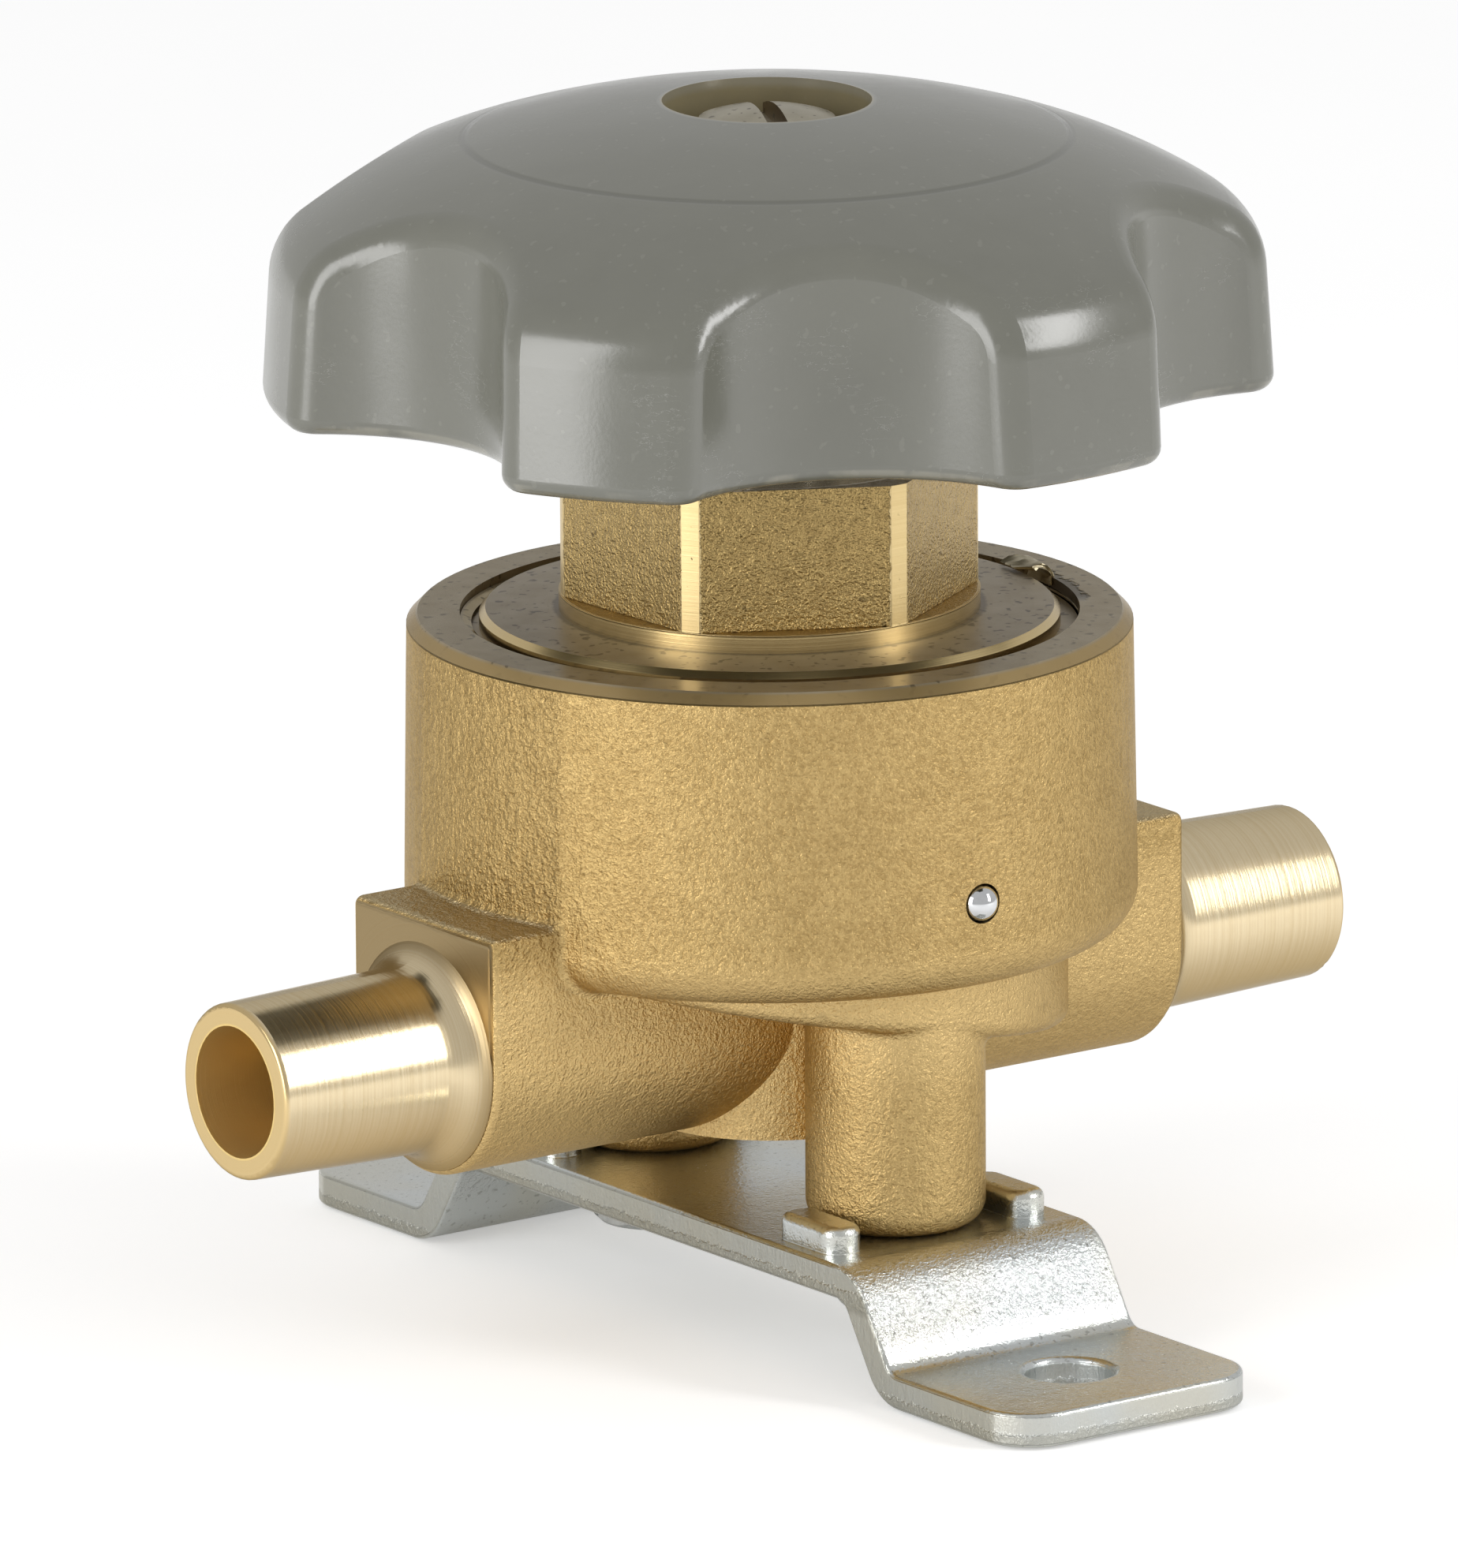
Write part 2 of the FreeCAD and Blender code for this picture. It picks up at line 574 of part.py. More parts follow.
def make_bracket():
    """The folded strip: a raised plate, two sloping risers and two feet with holes."""
    body = new_body("mounting_bracket")
    riser_run = "(plate_height - sheet) / tan(riser_angle)"
    foot_start = f"({PLATE_REACH} + {riser_run})"
    plate_under = f"({PLATE_REACH} - sheet * tan(riser_angle / 2))"
    foot_under = f"({PLATE_REACH} + plate_height / tan(riser_angle) - sheet / sin(riser_angle))"
    section = sketch_on(body, "YZ_Plane", "strip_section")
    outline(section, [("0", "plate_height - sheet"), (plate_under, "plate_height - sheet"),
                      (foot_under, "0"), ("bracket_reach", "0"), ("bracket_reach", "sheet"),
                      (foot_start, "sheet"), (PLATE_REACH, "plate_height"), ("0", "plate_height")])
    half = shape_feature(body, "Pad", "half_strip", section, {"Length": "bracket_width"}, Midplane=True)
    mirror_feature(body, "strip", [half], "XZ_Plane")

    # Bends: the inner corners get the bend radius and the outer ones the sheet on top of it
    sheet_size = SIZES["sheet"]
    plate = SIZES["plate_height"]
    inner_bends = ((number(plate_under), plate - sheet_size), (number(foot_start), sheet_size))
    outer_bends = ((number(PLATE_REACH), plate), (number(foot_under), 0.0))

    def bend_test(bends):
        def test(edge):
            middle = edge.CenterOfMass
            return any(abs(abs(middle.y) - y) < 1e-3 and abs(middle.z - z) < 1e-3 for y, z in bends)
        return test

    dress_edges(body, "Fillet", "inner_bends", "bend_round", bend_test(inner_bends))
    dress_edges(body, "Fillet", "outer_bends", "bend_round + sheet", bend_test(outer_bends))
    dress_edges(body, "Fillet", "foot_corners", "foot_corner_round",
                lambda edge: abs(abs(edge.CenterOfMass.y) - SIZES["bracket_reach"]) < 1e-3
                and abs(edge.BoundBox.ZLength - sheet_size) < 1e-3)

    # Holes for the fixing bolts in the feet and for the screws under the posts
    for name, radius, offset in (("foot_holes", "foot_hole_radius", FOOT_HOLE_OFFSET),
                                 ("screw_holes", "screw_radius + screw_hole_gap", POST_OFFSET)):
        holes = sketch_on(body, "XY_Plane", f"{name}_outline", away="plate_height + over_cut")
        add_circle(holes, radius, "0", f"-{offset}")
        add_circle(holes, radius, "0", offset)
        shape_feature(body, "Pocket", name, holes, {"Length": "plate_height + 2 * over_cut"})

    # Soft edges from blanking, all round the strip and on top of the foot holes
    dress_edges(body, "Fillet", "strip_edges", "strip_edge_round",
                lambda edge: abs(abs(edge.CenterOfMass.y) - SIZES["bracket_reach"]) < 1e-3
                and edge.BoundBox.ZLength < 1e-3)
    dress_edges(body, "Fillet", "foot_hole_edges", "foot_hole_edge_round",
                lambda edge: is_circle(edge, SIZES["foot_hole_radius"], sheet_size))

    # Half-sheared lugs that stop each post from turning
    lug_middle = "(post_radius + lug_gap + lug_width / 2)"
    lug_y = f"({POST_OFFSET} + lug_shift)"
    lugs = []
    for side, sign in (("left", "-"), ("right", "")):
        lug = sketch_on(body, "XY_Plane", f"{side}_lug_outline", away="plate_height")
        near, far = f"{lug_y} - lug_length / 2", f"{lug_y} + lug_length / 2"
        edge_a, edge_b = f"{sign}({lug_middle} - lug_width / 2)", f"{sign}({lug_middle} + lug_width / 2)"
        outline(lug, [(edge_a, near), (edge_b, near), (edge_b, far), (edge_a, far)])
        lugs.append(shape_feature(body, "Pad", f"{side}_lug", lug, {"Length": "lug_height"}))
    mirror_feature(body, "lugs", lugs, "XZ_Plane")
    lug_top = plate + SIZES["lug_height"]
    dress_edges(body, "Fillet", "lug_ends", "(lug_width - lug_end_flat) / 2",
                lambda edge: abs(edge.BoundBox.ZLength - SIZES["lug_height"]) < 1e-3
                and edge.CenterOfMass.z > plate and isinstance(edge.Curve, Part.Line))
    dress_edges(body, "Fillet", "lug_tops", "lug_round",
                lambda edge: abs(edge.BoundBox.ZMin - lug_top) < 1e-3 and edge.BoundBox.ZLength < 1e-3)
    return body


def make_bracket_screws():
    """Two hexagon screws that hold the posts on the plate."""
    body = new_body("bracket_screw")
    head_base = f"({SCREW_BEARING} - screw_head_height)"
    shank_end = f"{SCREW_BEARING} + sheet + screw_reach"
    corner_radius = "screw_head_face_radius + screw_head_chamfer"
    turn_profile(body, "Revolution", "bracket_screw_turned",
                 [("0", head_base), ("screw_head_face_radius", head_base),
                  (corner_radius, f"{head_base} + screw_head_chamfer"), (corner_radius, SCREW_BEARING),
                  ("screw_radius", SCREW_BEARING), ("screw_radius", shank_end), ("0", shank_end)])
    cut_hexagon(body, "bracket_screw_flats", "screw_head_across", "screw_head_turn", SCREW_BEARING,
                "screw_head_height")
    bind(body, {"Placement.Base.y": f"-{POST_OFFSET}"})
    twin = doc.addObject("Part::Mirroring", "bracket_screw_twin")
    twin.Source = body
    twin.Normal = FreeCAD.Vector(0, 1, 0)
    pair = doc.addObject("Part::Compound", "bracket_screws")
    pair.Links = [body, twin]
    doc.recompute()
    return pair


def make_bonnet():
    """The bonnet: threaded skirt, flange, turned collar and hexagon, bored for the spindle."""
    body = new_body("bonnet")
    skirt_radius = "thread_radius - thread_gap"
    bore_radius = "spindle_thread_radius + running_gap"
    neck_radius = "spindle_neck_radius + running_gap"
    groove_radius = "spindle_neck_radius + seal_section + running_gap"
    groove_base = f"{SEAL_TOP} - seal_section - 2 * running_gap"
    flange_base = f"{BONNET_FACE} - flange_height"
    turn_profile(body, "Revolution", "bonnet_turned",
                 [("cavity_radius", BONNET_RIM), (skirt_radius, BONNET_RIM), (skirt_radius, flange_base),
                  ("flange_radius", flange_base), ("flange_radius", f"{BONNET_FACE} - flange_chamfer"),
                  ("flange_radius - flange_chamfer", BONNET_FACE),
                  ("collar_radius", BONNET_FACE), ("collar_radius", HEX_BASE),
                  ("hex_corner_radius", HEX_BASE), ("hex_corner_radius", HEX_TOP),
                  (neck_radius, HEX_TOP), (neck_radius, SEAL_TOP), (groove_radius, SEAL_TOP),
                  (groove_radius, groove_base), (neck_radius, groove_base), (neck_radius, NECK_BASE),
                  (bore_radius, NECK_BASE), (bore_radius, CAVITY_ROOF), ("cavity_radius", CAVITY_ROOF)])
    cut_hexagon(body, "hex_flats", "hex_across", "hex_turn", HEX_TOP, "hex_height")
    return body


def make_slip_ring():
    top = f"{SLIP_BASE} + slip_thickness"
    return turned_piece("slip_ring", [("clamp_radius", SLIP_BASE), ("disc_radius", SLIP_BASE),
                                      ("disc_radius", top), ("clamp_radius", top)])


def make_diaphragm(label, layer):
    """One thin disc of the stack, pressed down in the middle by the pad."""
    lift = f"{layer} * {DISC_PITCH}"
    low, rim = f"{PLATE_TOP} + {lift}", f"{LEDGE} + {lift}"
    high, rim_top = f"{low} + disc_thickness", f"{rim} + disc_thickness"
    return turned_piece(label, [("0", low), ("disc_flat_radius", low), ("chamber_radius", rim),
                                ("disc_radius", rim), ("disc_radius", rim_top), ("chamber_radius", rim_top),
                                ("disc_flat_radius", high), ("0", high)])


def cut_ball_cup(body, name):
    """A cup round the thrust ball, with a running gap."""
    cup = body.newObject("PartDesign::SubtractiveSphere", name)
    bind(cup, {"Radius": "thrust_ball_radius + running_gap", "Placement.Base.z": BALL_MIDDLE})
    doc.recompute()


def make_thrust_ball():
    ball = doc.addObject("Part::Sphere", "thrust_ball")
    bind(ball, {"Radius": "thrust_ball_radius", "Placement.Base.z": BALL_MIDDLE})
    return ball


def make_thrust_pad():
    body = turned_piece("thrust_pad", [("0", PAD_BASE), ("pad_radius", PAD_BASE), ("pad_radius", PAD_TOP),
                                       ("0", PAD_TOP)])
    dress_edges(body, "Fillet", "thrust_pad_edges", "pad_round",
                lambda edge: is_circle(edge, SIZES["pad_radius"]))
    cut_ball_cup(body, "thrust_pad_cup")
    return body


def make_spindle():
    """The spindle: cupped nose, thread, plain neck, square for the wheel and a tapped end."""
    body = new_body("spindle")
    square_top = f"({RECESS_FLOOR} - spindle_square_spare)"
    turn_profile(body, "Revolution", "spindle_turned",
                 [("0", NOSE_BASE), ("spindle_nose_radius", NOSE_BASE),
                  ("spindle_nose_radius", THREAD_BASE), ("spindle_thread_radius", THREAD_BASE),
                  ("spindle_thread_radius", THREAD_TOP), ("spindle_neck_radius", THREAD_TOP),
                  ("spindle_neck_radius", WHEEL_BASE), ("0", WHEEL_BASE)])
    square = sketch_on(body, "XY_Plane", "spindle_square_outline", away=WHEEL_BASE)
    side = "spindle_square / 2"
    outline(square, [(f"-{side}", f"-{side}"), (side, f"-{side}"), (side, side), (f"-{side}", side)])
    shape_feature(body, "Pad", "spindle_square_end", square, {"Length": f"{square_top} - {WHEEL_BASE}"})
    tap = sketch_on(body, "XY_Plane", "spindle_tap_outline", away=square_top)
    add_circle(tap, "wheel_screw_radius + running_gap")
    shape_feature(body, "Pocket", "spindle_tap", tap, {"Length": "wheel_screw_reach + tap_depth_spare"})
    cut_ball_cup(body, "spindle_cup")
    return body


def make_spindle_seal():
    ring = doc.addObject("Part::Torus", "spindle_seal")
    bind(ring, {"Radius1": "spindle_neck_radius + seal_section / 2 + running_gap / 2",
                "Radius2": "seal_section / 2 - running_gap / 2",
                "Placement.Base.z": f"{SEAL_TOP} - seal_section / 2 - running_gap"})
    return ring


def make_valve_plate():
    """The plate under the diaphragms, with a cup for the seat disc and a flange for the spring."""
    cup_low = f"{SEAT_TOP} + seat_disc_proud"
    cup_radius = "seat_disc_radius + seat_gap"
    return turned_piece("valve_plate",
                        [("0", DISC_TOP), (cup_radius, DISC_TOP), (cup_radius, cup_low),
                         ("plate_cup_radius", cup_low), ("plate_cup_radius", FLANGE_BASE),
                         ("plate_flange_radius", FLANGE_BASE), ("plate_flange_radius", PLATE_TOP),
                         ("0", PLATE_TOP)])


def make_seat_disc():
    disc = doc.addObject("Part::Cylinder", "seat_disc")
    bind(disc, {"Radius": "seat_disc_radius", "Height": "seat_disc_thickness",
                "Placement.Base.z": SEAT_TOP})
    return disc


def make_return_spring():
    """A short compression spring between the chamber floor and the plate's flange."""
    body = new_body("return_spring")
    section = sketch_on(body, "XZ_Plane", "spring_section")
    add_circle(section, "spring_wire / 2", "spring_radius",
               f"{CHAMBER_FLOOR} + spring_wire / 2 + running_gap")
    coil_height = f"({FLANGE_BASE} - {CHAMBER_FLOOR} - spring_wire - 2 * running_gap)"
    coil = body.newObject("PartDesign::AdditiveHelix", "spring_coil")
    coil.Profile = section
    coil.ReferenceAxis = (section, ["V_Axis"])
    coil.Mode = "height-turns-angle"
    bind(coil, {"Height": coil_height, "Turns": "spring_turns"})
    doc.recompute()
    return body


def wheel_scallops(body, name, radius, base, top):
    """Round hollows cut into the side of a turned form, one for each lobe."""
    hollow = sketch_on(body, "XY_Plane", f"{name}_outline", away=top)
    add_circle(hollow, radius, "scallop_offset * cos(lobe_turn)", "scallop_offset * sin(lobe_turn)")
    first = shape_feature(body, "Pocket", name, hollow, {"Length": f"{top} - ({base})"})
    return polar_feature(body, f"{name}_ring", [first], "lobe_count")


def make_handwheel():
    """The moulded wheel: a dome with hollows in its side, hollow underneath round a square hub."""
    form = new_body("wheel_form")
    shoulder = f"({WHEEL_BASE} + wheel_shoulder_height)"
    brow = f"({WHEEL_BASE} + wheel_brow_height)"
    ring = f"({WHEEL_BASE} + wheel_ring_height)"
    turn_profile(form, "Revolution", "wheel_dome",
                 [("0", WHEEL_BASE), ("wheel_rim_radius", WHEEL_BASE), ("wheel_shoulder_radius", shoulder),
                  ("wheel_brow_radius", brow), ("wheel_ring_radius", ring), ("recess_radius", WHEEL_TOP),
                  ("recess_radius", RECESS_FLOOR), ("0", RECESS_FLOOR)],
                 {2: None, 3: None, 4: None})
    wheel_scallops(form, "scallop", "scallop_radius", f"{WHEEL_BASE} - over_cut", f"{WHEEL_TOP} + over_cut")
    hollow_reach = SIZES["scallop_offset"] - SIZES["scallop_radius"]

    def is_outer_edge(edge):
        middle = edge.CenterOfMass
        return math.hypot(middle.x, middle.y) > hollow_reach - 1e-3

    dress_edges(form, "Fillet", "scallop_edges", "scallop_round",
                lambda edge: is_outer_edge(edge) and edge.BoundBox.ZLength > 1e-3)
    underside = min(vertex.Z for vertex in form.Shape.Vertexes)
    dress_edges(form, "Fillet", "wheel_edge", "wheel_edge_round",
                lambda edge: is_outer_edge(edge) and is_level(edge, underside))
    square = sketch_on(form, "XY_Plane", "wheel_square_outline", away=RECESS_FLOOR)
    side = "(spindle_square / 2 + running_gap)"
    outline(square, [(f"-{side}", f"-{side}"), (side, f"-{side}"), (side, side), (f"-{side}", side)])
    hub_length = {"Length": f"{RECESS_FLOOR} - {WHEEL_BASE} + over_cut"}
    shape_feature(form, "Pocket", "wheel_square", square, hub_length)

    core = new_body("wheel_core")
    low = f"{WHEEL_BASE} - over_cut"
    turn_profile(core, "Revolution", "core_turned",
                 [("wheel_hub_radius", low), ("wheel_rim_radius - wheel_wall", low),
                  ("wheel_shoulder_radius - wheel_wall", f"{shoulder} - wheel_wall"),
                  ("wheel_brow_radius - wheel_wall", f"{brow} - wheel_wall"),
                  ("wheel_ring_radius - wheel_wall", f"{RECESS_FLOOR} - wheel_wall"),
                  ("wheel_hub_radius", f"{RECESS_FLOOR} - wheel_wall")])
    wheel_scallops(core, "core_scallop", "scallop_radius + wheel_wall",
                   f"{WHEEL_BASE} - 2 * over_cut", WHEEL_TOP)
    wheel = doc.addObject("Part::Cut", "handwheel")
    wheel.Base = form
    wheel.Tool = core
    doc.recompute()
    return wheel


def make_handwheel_screw():
    """The slotted screw in the wheel's recess, with a low domed head."""
    body = new_body("handwheel_screw")
    head_edge = f"({WASHER_TOP} + wheel_screw_head_height)"
    head_top = f"({head_edge} + wheel_screw_dome)"
    shank_end = f"({RECESS_FLOOR} - spindle_square_spare - wheel_screw_reach)"
    turn_profile(body, "Revolution", "handwheel_screw_turned",
                 [("0", shank_end), ("wheel_screw_radius", shank_end), ("wheel_screw_radius", WASHER_TOP),
                  ("wheel_screw_head_radius", WASHER_TOP), ("wheel_screw_head_radius", head_edge),
                  ("0", head_top)], {4: "dome_curve"})
    slot = sketch_on(body, "XY_Plane", "handwheel_screw_slot", away=head_top, turn="slot_turn")
    reach = "wheel_screw_head_radius + over_cut"
    outline(slot, [(f"-({reach})", "-wheel_screw_slot / 2"), (reach, "-wheel_screw_slot / 2"),
                   (reach, "wheel_screw_slot / 2"), (f"-({reach})", "wheel_screw_slot / 2")])
    shape_feature(body, "Pocket", "handwheel_screw_slot_cut", slot, {"Length": "wheel_screw_slot_depth"})
    return body


def make_wheel_washer():
    hole = "wheel_screw_radius + running_gap"
    return turned_piece("wheel_washer", [(hole, RECESS_FLOOR), ("washer_radius", RECESS_FLOOR),
                                         ("washer_radius", WASHER_TOP), (hole, WASHER_TOP)])


def make_pieces():
    pieces = [make_valve_body(), make_side_ball(), make_bracket(), make_bracket_screws(), make_bonnet(),
              make_slip_ring()]
    for layer, label in enumerate(DIAPHRAGMS):
        pieces.append(make_diaphragm(label, layer))
    pieces += [make_thrust_pad(), make_thrust_ball(), make_spindle(), make_spindle_seal(),
               make_valve_plate(), make_seat_disc(), make_return_spring(), make_handwheel(),
               make_handwheel_screw(), make_wheel_washer()]
    return pieces


def check_and_write(pieces):
    """Stop if any object failed, then write one file for each piece."""
    doc.recompute()
    for item in doc.Objects:
        if "Invalid" in item.State or "Error" in item.State:
            raise RuntimeError(f"{item.Name} failed: {item.State}")
    os.makedirs("parts", exist_ok=True)
    for piece in pieces:
        shape = piece.Shape
        if shape.isNull() or not shape.isValid():
            raise RuntimeError(f"{piece.Label} has no valid shape")
        shape.exportStep(f"parts/{piece.Label}.step")
        print(f"{piece.Label}: {len(shape.Solids)} solid(s), {shape.Volume:.1f} mm3")


check_and_write(make_pieces())
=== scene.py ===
# %% [markdown]
# # An isolating valve with a moulded hand wheel
# A forged brass valve stands on a zinc-plated bracket. The solids come from the workshop drawing of the
# valve, in metres, so nothing has to be fitted. Blender's work is the look: the finish of each metal, the
# thread that shows in the gap round the bonnet, the light and the camera.

# %% Load the frame
import bpy
import math
from mathutils import Matrix, Vector


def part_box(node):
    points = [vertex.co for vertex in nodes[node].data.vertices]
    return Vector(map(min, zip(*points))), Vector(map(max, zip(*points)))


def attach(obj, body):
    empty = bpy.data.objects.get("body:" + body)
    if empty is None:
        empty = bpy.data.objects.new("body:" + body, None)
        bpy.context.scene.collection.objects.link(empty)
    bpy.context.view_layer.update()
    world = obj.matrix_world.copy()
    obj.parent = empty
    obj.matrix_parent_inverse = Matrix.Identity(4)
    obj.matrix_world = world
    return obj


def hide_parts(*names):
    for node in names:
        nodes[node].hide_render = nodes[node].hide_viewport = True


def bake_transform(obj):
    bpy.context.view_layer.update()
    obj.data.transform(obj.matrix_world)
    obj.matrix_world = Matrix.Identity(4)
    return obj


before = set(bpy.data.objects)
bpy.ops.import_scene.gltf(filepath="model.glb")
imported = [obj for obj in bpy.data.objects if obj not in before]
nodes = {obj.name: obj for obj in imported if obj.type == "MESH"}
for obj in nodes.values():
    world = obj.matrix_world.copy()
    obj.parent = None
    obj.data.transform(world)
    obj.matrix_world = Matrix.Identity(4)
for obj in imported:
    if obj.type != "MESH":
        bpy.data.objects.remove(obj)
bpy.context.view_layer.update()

print("nodes:", sorted(nodes))

# %% [markdown]
# ## Shader arithmetic
# Wear, grain and lathe marks are sums of patterns. Blender adds numbers with Math nodes, and a tree of those
# is hard to read. A small class wraps a node's output, so that `1 - mask` or `grain * 0.3` writes the nodes.
# All other nodes come from one method: first the node's settings, then its sockets.

# %% A socket that can be used in sums
class Wire:
    """A node's output. Arithmetic on it adds the Math nodes that work it out."""

    def __init__(self, finish, socket):
        self.finish = finish
        self.socket = socket

    def work(self, operation, first, second=0.0):
        return self.finish.node("Math", {"operation": operation}, {0: first, 1: second})

    def __add__(self, other):
        return self.work("ADD", self, other)

    def __radd__(self, other):
        return self.work("ADD", other, self)

    def __sub__(self, other):
        return self.work("SUBTRACT", self, other)

    def __rsub__(self, other):
        return self.work("SUBTRACT", other, self)

    def __mul__(self, other):
        return self.work("MULTIPLY", self, other)

    def __rmul__(self, other):
        return self.work("MULTIPLY", other, self)

    def __pow__(self, power):
        return self.work("POWER", self, power)

    def __abs__(self):
        return self.work("ABSOLUTE", self)


# %% One material and its nodes
def tone(red, green, blue):
    """A colour as it is read off a screen, turned into the linear numbers that Blender mixes."""
    def linear(level):
        share = level / 255
        return share / 12.92 if share <= 0.04045 else ((share + 0.055) / 1.055) ** 2.4
    return (linear(red), linear(green), linear(blue), 1.0)


class Finish:
    """A material under one of the object's own names, with one way to add a node."""

    def __init__(self, name, **settings):
        self.material = bpy.data.materials.new(name)
        self.material.use_nodes = True
        self.tree = self.material.node_tree
        self.shader = self.tree.nodes["Principled BSDF"]
        for socket, value in settings.items():
            self.plug(self.shader.inputs[socket.replace("_", " ")], value)

    def plug(self, socket, value):
        if isinstance(value, Wire):
            self.tree.links.new(value.socket, socket)
        else:
            socket.default_value = value

    def node(self, kind, settings=None, inputs=None, output=0):
        made = self.tree.nodes.new(f"ShaderNode{kind}")
        for name, value in (settings or {}).items():
            setattr(made, name, value)
        for name, value in (inputs or {}).items():
            self.plug(made.inputs[name], value)
        return Wire(self, made.outputs[output])

    def millimetres(self):
        """Object coordinates in millimetres."""
        place = self.node("TexCoord", output="Object")
        return self.node("VectorMath", {"operation": "SCALE"}, {"Vector": place, "Scale": 1000.0})

    def parts(self, vector):
        """The three numbers of a vector."""
        first = self.node("SeparateXYZ", None, {0: vector})
        return [Wire(self, socket) for socket in first.socket.node.outputs]

    def facing(self):
        """The way that the surface faces, as three numbers."""
        return self.parts(self.node("TexCoord", output="Normal"))

    def vector(self, x, y, z):
        return self.node("CombineXYZ", None, {0: x, 1: y, 2: z})

    def noise(self, place, scale, detail=2.0, rough=0.5):
        return self.node("TexNoise", None,
                         {"Vector": place, "Scale": scale, "Detail": detail, "Roughness": rough})

    def rise(self, value, low, high):
        """0 below low, 1 above high, smooth in between."""
        return self.node("MapRange", {"interpolation_type": "SMOOTHSTEP"},
                         {"Value": value, "From Min": low, "From Max": high})

    def band(self, value, low, high, soft):
        """1 between low and high, falling to 0 over a soft edge on both sides."""
        return self.rise(value, low - soft, low) * (1 - self.rise(value, high, high + soft))

    def mix(self, amount, first, second):
        """From the first colour to the second."""
        return self.node("Mix", {"data_type": "RGBA"}, {0: amount, 6: first, 7: second}, output=2)

    def bump(self, height_mm):
        """A relief given in millimetres."""
        return self.node("Bump", None, {"Height": height_mm, "Distance": 0.001, "Strength": 1.0})

    def paint(self, **sockets):
        for socket, value in sockets.items():
            self.plug(self.shader.inputs[socket.replace("_", " ")], value)
        print("finish:", self.material.name, len(self.tree.nodes), "nodes")
        return self.material


def dress(material, *names):
    """Give CAD nodes a finish."""
    for name in names:
        slots = nodes[name].data.materials
        slots.clear()
        slots.append(material)


# %% [markdown]
# ## Brass: forged skin, turned ends and a tarnished mouth
# The body is hot forged, so its skin is a crinkled, orange-peel gold. Then it is chucked in a lathe: the two
# stubs, their flares, the end faces and the ring round the mouth are cut bright, with fine lines
# round the axis. One material does it all, because it is one piece: masks made from the place on the body
# pick the machined zones. Grain and lathe lines are relief, so they catch the light from any side.

# %% Patterns that the brass finishes share
FORGED = tone(200, 171, 115)
FORGED_DEEP = tone(170, 142, 91)
TURNED = tone(243, 229, 198)
TURNED_DEEP = tone(208, 183, 136)
TARNISH = tone(180, 169, 147)
TARNISH_DEEP = tone(142, 124, 92)
SPECK = tone(52, 40, 26)


def forged_grain(finish, place):
    """The relief of a forged skin, in millimetres: soft waves, crinkles and fine sand."""
    waves = finish.noise(place, 0.30, 2.0, 0.5)
    crinkles = finish.noise(place, 2.2, 3.0, 0.6)
    sand = finish.noise(place, 4.8, 2.0, 0.65)
    return waves, crinkles, sand


def specks(finish, place, scale, least, most):
    """Scattered small dark spots."""
    return finish.rise(finish.noise(place, scale, 1.0, 0.4), least, most)


# %% The valve body and its zones
AXIS = 23.2
BLOCK_END = 30.9
STUB_END = 47.5
SOCKET_RADIUS = 4.8
MOUTH_RADIUS = 22.35
MOUTH_TOP = 51.6

body = Finish("body_brass_forged_and_turned", Specular_Tint=tone(214, 210, 200))
place = body.millimetres()
x, y, z = body.parts(place)
radius = (x * x + y * y) ** 0.5
pipe_radius = (y * y + (z - AXIS) * (z - AXIS)) ** 0.5
reach = abs(x)

turned_end = body.rise(reach, BLOCK_END - 0.05, BLOCK_END + 0.08)
bore = turned_end * (1 - body.rise(pipe_radius, SOCKET_RADIUS + 0.05, SOCKET_RADIUS + 0.2))
on_rim = body.rise(radius, MOUTH_RADIUS - 0.35, MOUTH_RADIUS - 0.05)
mouth_ring = body.rise(z, MOUTH_TOP - 0.9, MOUTH_TOP - 0.75) * on_rim
mouth_wall = body.rise(z, 30.0, 30.5) * (1 - body.rise(radius, MOUTH_RADIUS + 0.01, MOUTH_RADIUS + 0.15))
machined = body.node("Clamp", None, {"Value": turned_end + mouth_ring + mouth_wall})
print("nodes for the body's zones:", len(body.tree.nodes))

# %% [markdown]
# ### The body's relief
# The skin is coarsest where the drum meets the channel blocks, because the metal flowed furthest there. The
# turned zones get lines round their own axis, and the start of the thread has bitten into the mouth's rim.

# %% Relief of the body
waves, crinkles, sand = forged_grain(body, place)
over_block = body.rise(reach, 14.0, 21.0) * (1 - body.rise(abs(y), 8.2, 9.4)) * body.rise(z, 30.0, 34.0)
flow = body.noise(body.vector(x * 1.3, y * 1.3, z * 0.35), 1.0, 3.0, 0.6)
shelf = body.band(abs(y), 8.6, 10.2, 1.2) * body.rise(reach, 14.0, 20.0) * (1 - body.rise(z, 36.0, 48.0))
skin = waves * 0.13 + crinkles * (0.13 + over_block * 0.18) + sand * 0.12
skin = skin + flow * over_block * 0.2 + shelf * 0.12

lathe_place = body.vector(reach * 5.0, pipe_radius * 5.0, 0.0)
lathe_lines = body.noise(lathe_place, 1.0, 3.0, 0.7)
ring_lines = body.noise(body.vector(radius * 6.0, z * 6.0, 0.0), 1.0, 2.0, 0.6)
cut = lathe_lines * turned_end * 0.014 + ring_lines * (1 - turned_end) * 0.003
angle = body.node("Math", {"operation": "ARCTAN2"}, {0: y, 1: x})
ragged = radius + body.noise(place, 1.2, 2.0) * 1.4
bite = body.band(angle, -0.50, -0.13, 0.07) * (1 - body.rise(ragged, 23.5, 23.9)) * mouth_ring
relief = skin * (1 - machined) + cut * machined - bite * 0.25
print("nodes with the body's relief:", len(body.tree.nodes))

